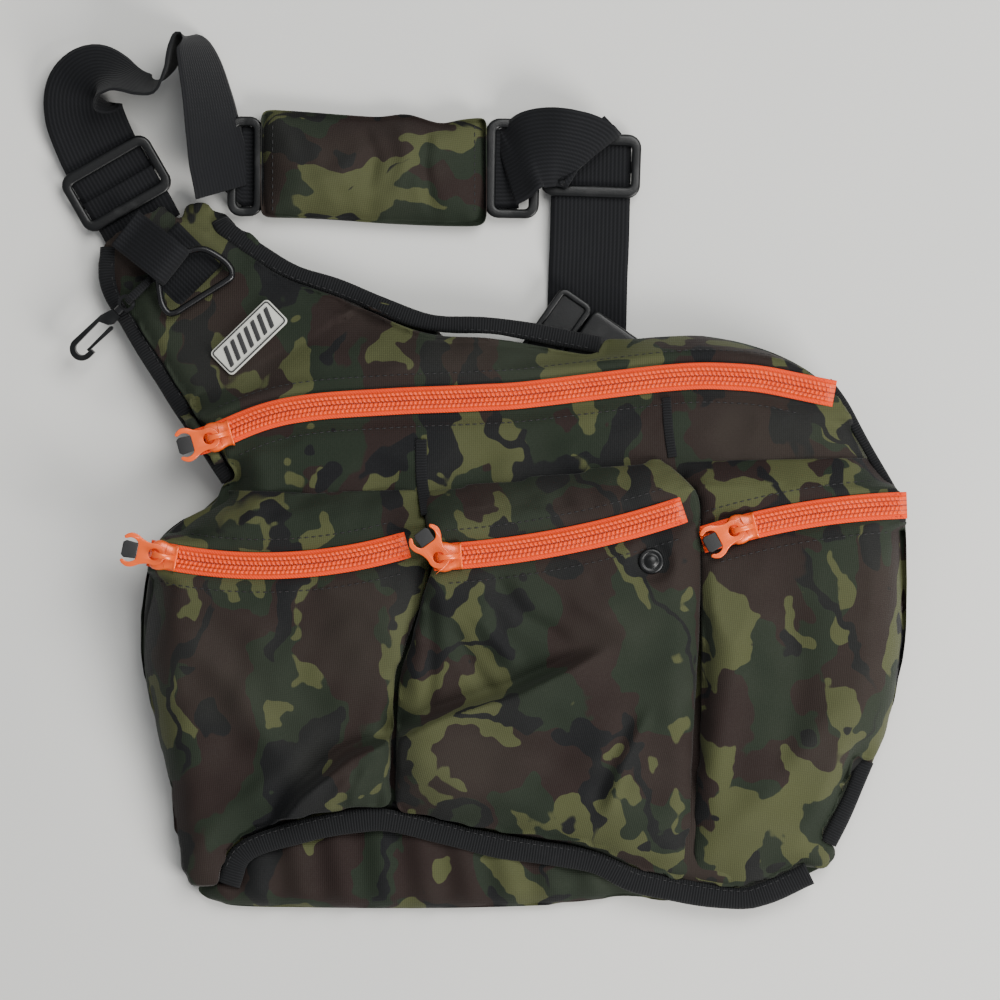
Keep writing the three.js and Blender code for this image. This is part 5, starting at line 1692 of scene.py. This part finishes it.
tab_pin = np.array(joints["ring_swing"]["pos_m"]) / MM
TAB_TURN = np.radians(142)
tab_at = Place(tab_pin, (np.cos(TAB_TURN), np.sin(TAB_TURN), 0))
CAVITY = 5.2 + 0.8
tab_line = spline([(25.5, 0, -5.4), (12, 0, -5.7), (0, 0, -CAVITY), (-4.4, 0, -4.1), (-6.0, 0, 0),
                   (-4.4, 0, 4.2), (0, 0, CAVITY), (7, 0, 4.0), (14, 0, 0.2), (20, 0, -3.2),
                   (25.5, 0, -3.6)], 90)
ring_tab = place_swept("ring_tab_webbing", tab_at, tab_line, np.tile([0, 1.0, 0], (90, 1)),
                       band(21, 1.3, 16), black_webbing, "bag")
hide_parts("d_ring_tab")
for node in ("hook_swivel", "hook_body", "hook_gate"):
    nodes[node].data.materials.clear()
    nodes[node].data.materials.append(black_enamel if node == "hook_swivel" else black_acetal)
hook_tab_at = Place(np.array(joints["hook_swing"]["pos_m"]) / MM,
                    (np.cos(np.radians(225)), np.sin(np.radians(225)), 0))
hook_tab_line = spline([(-13, 0, -3.1), (-7, 0, -2.9), (-2, 0, -2.7), (0.6, 0, -2.6), (2.7, 0, 0),
                        (0.6, 0, 2.6), (-2, 0, 2.6), (-7, 0, 1.4), (-13, 0, -1.2)], 60)
hook_tab = place_swept("hook_tab_webbing", hook_tab_at, hook_tab_line,
                       np.tile([0, 1.0, 0], (60, 1)), band(3.7, 1.2, 8), black_tape, "bag")
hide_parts("hook_tab")
print("ring", [round(v, 1) for v in ring_middle], "wire", round(WIRE, 2))

# %% [markdown]
# ## Stitching
# Sewing is what makes canvas read as sewn: a broken line of thread sunk a little into the cloth, both
# sides of every zip, along each binding and across the ends of the pad. A stitch is a tiny
# spindle with two dozen faces. All stitches of one line are copied at once as arrays, and each
# takes its height from the cloth below it.


# %% Laying lines on the cloth
def cloth_trees(pieces):
    """One search tree a piece, to find how high the cloth stands under a point."""
    graph = bpy.context.evaluated_depsgraph_get()
    return [BVHTree.FromObject(piece, graph) for piece in pieces]


trees = cloth_trees(soft)
DOWN = Vector((0, 0, -1))


def height_at(xy, fallback=20.0):
    """Highest hit of a ray that falls on the cloth, in mm, for each (x, y)."""
    found = []
    for x, y in np.asarray(xy) * MM:
        hits = [tree.ray_cast(Vector((x, y, 0.2)), DOWN)[0] for tree in trees]
        tops = [hit.z / MM for hit in hits if hit is not None]
        found.append(max(tops) if tops else fallback)
    return np.array(found)


def shifted(line, distance):
    """The line moved sideways by distance, to its left."""
    along = unit(np.gradient(line[:, :2], axis=0))
    return line[:, :2] + distance * np.stack([-along[:, 1], along[:, 0]], 1)


def spindle():
    """Points and faces of one stitch along x: six round, five long, radius as sqrt(1 - x^2)."""
    x = np.linspace(-1, 1, 5)
    turn = np.linspace(0, 2 * np.pi, 6, endpoint=False)
    radius = np.sqrt(np.clip(1.02 - x**2, 0, 1))
    points = np.stack([x[:, None] + 0 * turn, radius[:, None] * np.cos(turn),
                       radius[:, None] * np.sin(turn)], -1)
    return points.reshape(-1, 3), grid_faces(5, 6, False, True)[:, ::-1]


SPINDLE_POINTS, SPINDLE_FACES = spindle()


def stitch_row(name, line, pitch=3.3, length=2.3, radius=0.28, finish=None, heights=None, lowest=0.0):
    """Stitches every `pitch` mm: centre + x * length / 2 * along + y, z * radius * (side, up)."""
    count = max(2, int(lengths(line)[-1] / pitch))
    spread = even(np.asarray(line, float), 2 * count + 1)
    centres = spread[1::2, :2]
    ends = spread[2::2, :2] - spread[:-2:2, :2]
    top = height_at(centres, 0) if heights is None else np.full(len(centres), float(heights))
    kept = top >= lowest
    centres, ends, top = centres[kept], ends[kept], top[kept]
    along = unit(np.column_stack([ends, np.gradient(top) * 0.5]))
    side = unit(np.stack([-along[:, 1], along[:, 0], 0 * along[:, 0]], 1))
    up = np.cross(along, side)
    centre = np.column_stack([centres, top + 0.12])
    s = SPINDLE_POINTS
    points = (centre[:, None] + along[:, None] * s[None, :, :1] * length / 2
              + side[:, None] * s[None, :, 1:2] * radius + up[:, None] * s[None, :, 2:] * radius)
    faces = SPINDLE_FACES[None] + (np.arange(len(centres)) * len(s))[:, None, None]
    return build(name, points, faces.reshape(-1, 4), finish or black_thread)


# %% Rows of stitches
for zip_name, line in zip_lines.items():
    inside = even(line, 120)[6:-6]
    for side_name, distance in (("above", 12.4), ("below", -12.4)):
        stitch_row(f"stitches_{zip_name}_{side_name}", shifted(inside, distance),
                   lowest=ZIP_LEVEL[zip_name] - 9)
    tape_top = corners(f"zip_tape_{zip_name}")[1][2]
    for side_name, distance in (("upper", 5.3), ("lower", -5.3)):
        stitch_row(f"tape_stitches_{zip_name}_{side_name}", shifted(even(line, 120)[2:-2], distance),
                   2.2, 1.5, 0.2, orange_thread, tape_top - 0.05)


def on_binding(name, run, offset, rise):
    """Stitches on a binding: its own height plus half its thickness."""
    line = even(run, 80)[2:-2]
    moved = np.column_stack([shifted(line, offset), line[:, 2]])
    count = int(lengths(moved)[-1] / 3.2)
    spread = even(moved, 2 * count + 1)
    row = stitch_row(name, spread[:, :2], 3.2, 2.2, 0.27, black_thread, 0.0)
    points = coordinates(row.data) / MM
    far = np.argmin(((points[:, None, :2] - spread[None, ::4, :2]) ** 2).sum(-1), axis=1)
    points[:, 2] += spread[::4, 2][far] + rise
    row.data.vertices.foreach_set("co", (points * MM).astype(np.float32).ravel())
    row.data.update()


on_binding("stitches_binding_top", bound["top"], -2.4, 1.95)
on_binding("stitches_binding_neck", bound["neck"], 2.4, 1.95)
on_binding("stitches_binding_bottom", bound["bottom"], 3.6, 1.85)
for side_name, x in (("left", pad_low[0] + 4.5), ("right", pad_high[0] - 4.5)):
    rows = np.array([(x, pad_low[1] + 4), (x, pad_high[1] - 4)])
    stitch_row(f"stitches_pad_{side_name}", even(rows, 20))

# %% [markdown]
# ## Seam tapes, badge and stud
# Where two pockets meet, a narrow black tape runs down into the gap. The badge is a moulded
# rubber label: a pale plate with a raised dark border and a row of slanted bars, which stands
# for no real mark. The stud is a press button.


# %% Tapes laid over the cloth
def laid_tape(name, line, width, finish, lift_by=0.5, thickness=0.9, follow=5):
    """A band carried along a line whose height is the running mean of the cloth's height."""
    line = even(spline(line, 60), max(12, int(lengths(spline(line, 60))[-1] / 2)))
    high = height_at(line)
    kernel = np.ones(follow) / follow
    smooth = np.convolve(np.pad(high, follow, "edge"), kernel, "same")[follow:-follow]
    run = np.column_stack([line, np.maximum(smooth, high - 0.6) + lift_by])
    return sweep(name, run, level_across(run), band(width, thickness, 14, 0.2), finish)


laid_tape("seam_tape_left", spots((0.364, 0.205), (0.365, 0.27), (0.372, 0.33)), 5.5, black_tape)
laid_tape("seam_tape_right", spots((0.686, 0.135), (0.689, 0.19), (0.694, 0.235)), 4.5, black_tape)


ring_patch = np.array([ring_middle[:2] + (-17, 16), ring_middle[:2] + (4, -5)])
laid_tape("ring_patch", even(ring_patch, 4), 30, black_webbing, 0.35)

# %% Badge and stud
badge_low, badge_high = corners("badge")
badge_middle = (badge_low + badge_high) / 2
BADGE_TURN = np.radians(44.5)
badge_up = np.array([-0.08, 0.14, 1.0])
badge_at = Place(badge_middle, (np.cos(BADGE_TURN), np.sin(BADGE_TURN), 0), badge_up)


def badge_part(name, outlines, thickness, level, finish, bevel=0.25):
    """A bevelled plate at a level above the badge's middle."""
    points, faces = outline_plate(outlines, thickness, bevel)
    points[:, 2] += level
    return build(name, badge_at(points), faces, finish)


def frame_outline(x, y, length, width, wall, radius=1.0):
    """A rectangle and the smaller one inside it, the inner one walked the other way."""
    outer = rounded(length, width, radius, 5) + [x, y]
    inner = rounded(length - 2 * wall, width - 2 * wall, max(radius - wall, 0.3), 5)[::-1] + [x, y]
    return [outer, inner]


plate = badge_part("badge_plate", [rounded(38, 15.5, 2.2, 6)], 1.6, 0, badge_rubber, 0.4)
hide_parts("badge")
badge_part("badge_rim", frame_outline(0, 0, 36.6, 14.1, 0.7, 1.8), 0.5, 0.95, badge_border, 0.12)
for count in range(7):
    bar = rounded(2.3, 9.4, 0.5, 3)
    bar[:, 0] += 4.4 * (count - 3) + 0.42 * bar[:, 1]
    badge_part(f"badge_bar_{count + 1}", [bar], 0.6, 1.0, badge_border, 0.15)

stud_low, stud_high = corners("snap_stud")
stud_middle = (stud_low + stud_high) / 2


def turned(name, profile, centre, finish, body="bag", count=40):
    """A profile (radius, height) spun round a vertical line: (r cos t, r sin t, h)."""
    profile = np.asarray(profile, float)
    turn = np.linspace(0, 2 * np.pi, count, endpoint=False)
    r, h = profile[:, 0], profile[:, 1]
    points = np.stack([r[:, None] * np.cos(turn), r[:, None] * np.sin(turn), h[:, None] + 0 * turn], -1)
    return build(name, points + centre, grid_faces(len(r), count, False, True), finish, body)


stud_profile = [(0.01, 0), (6.0, 0), (6.05, 0.5), (5.7, 1.0), (4.9, 1.25), (4.2, 1.1), (3.9, 0.9),
                (3.2, 0.95), (2.6, 1.5), (1.6, 1.9), (0.01, 2.0)]
stud_button = turned("snap_stud_button", stud_profile[::1],
                     (stud_middle[0], stud_middle[1], stud_low[2] - 0.2), black_acetal)
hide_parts("snap_stud")
print("badge and stud done")

# %% Sizes and finish
sizes = {"cad": [list(corner) for corner in cad_box], "look": [list(c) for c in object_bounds()]}
print("look minus CAD, mm", [[round((a - b) * 1000, 1) for a, b in zip(p, q)]
                             for p, q in zip(sizes["look"], sizes["cad"])])
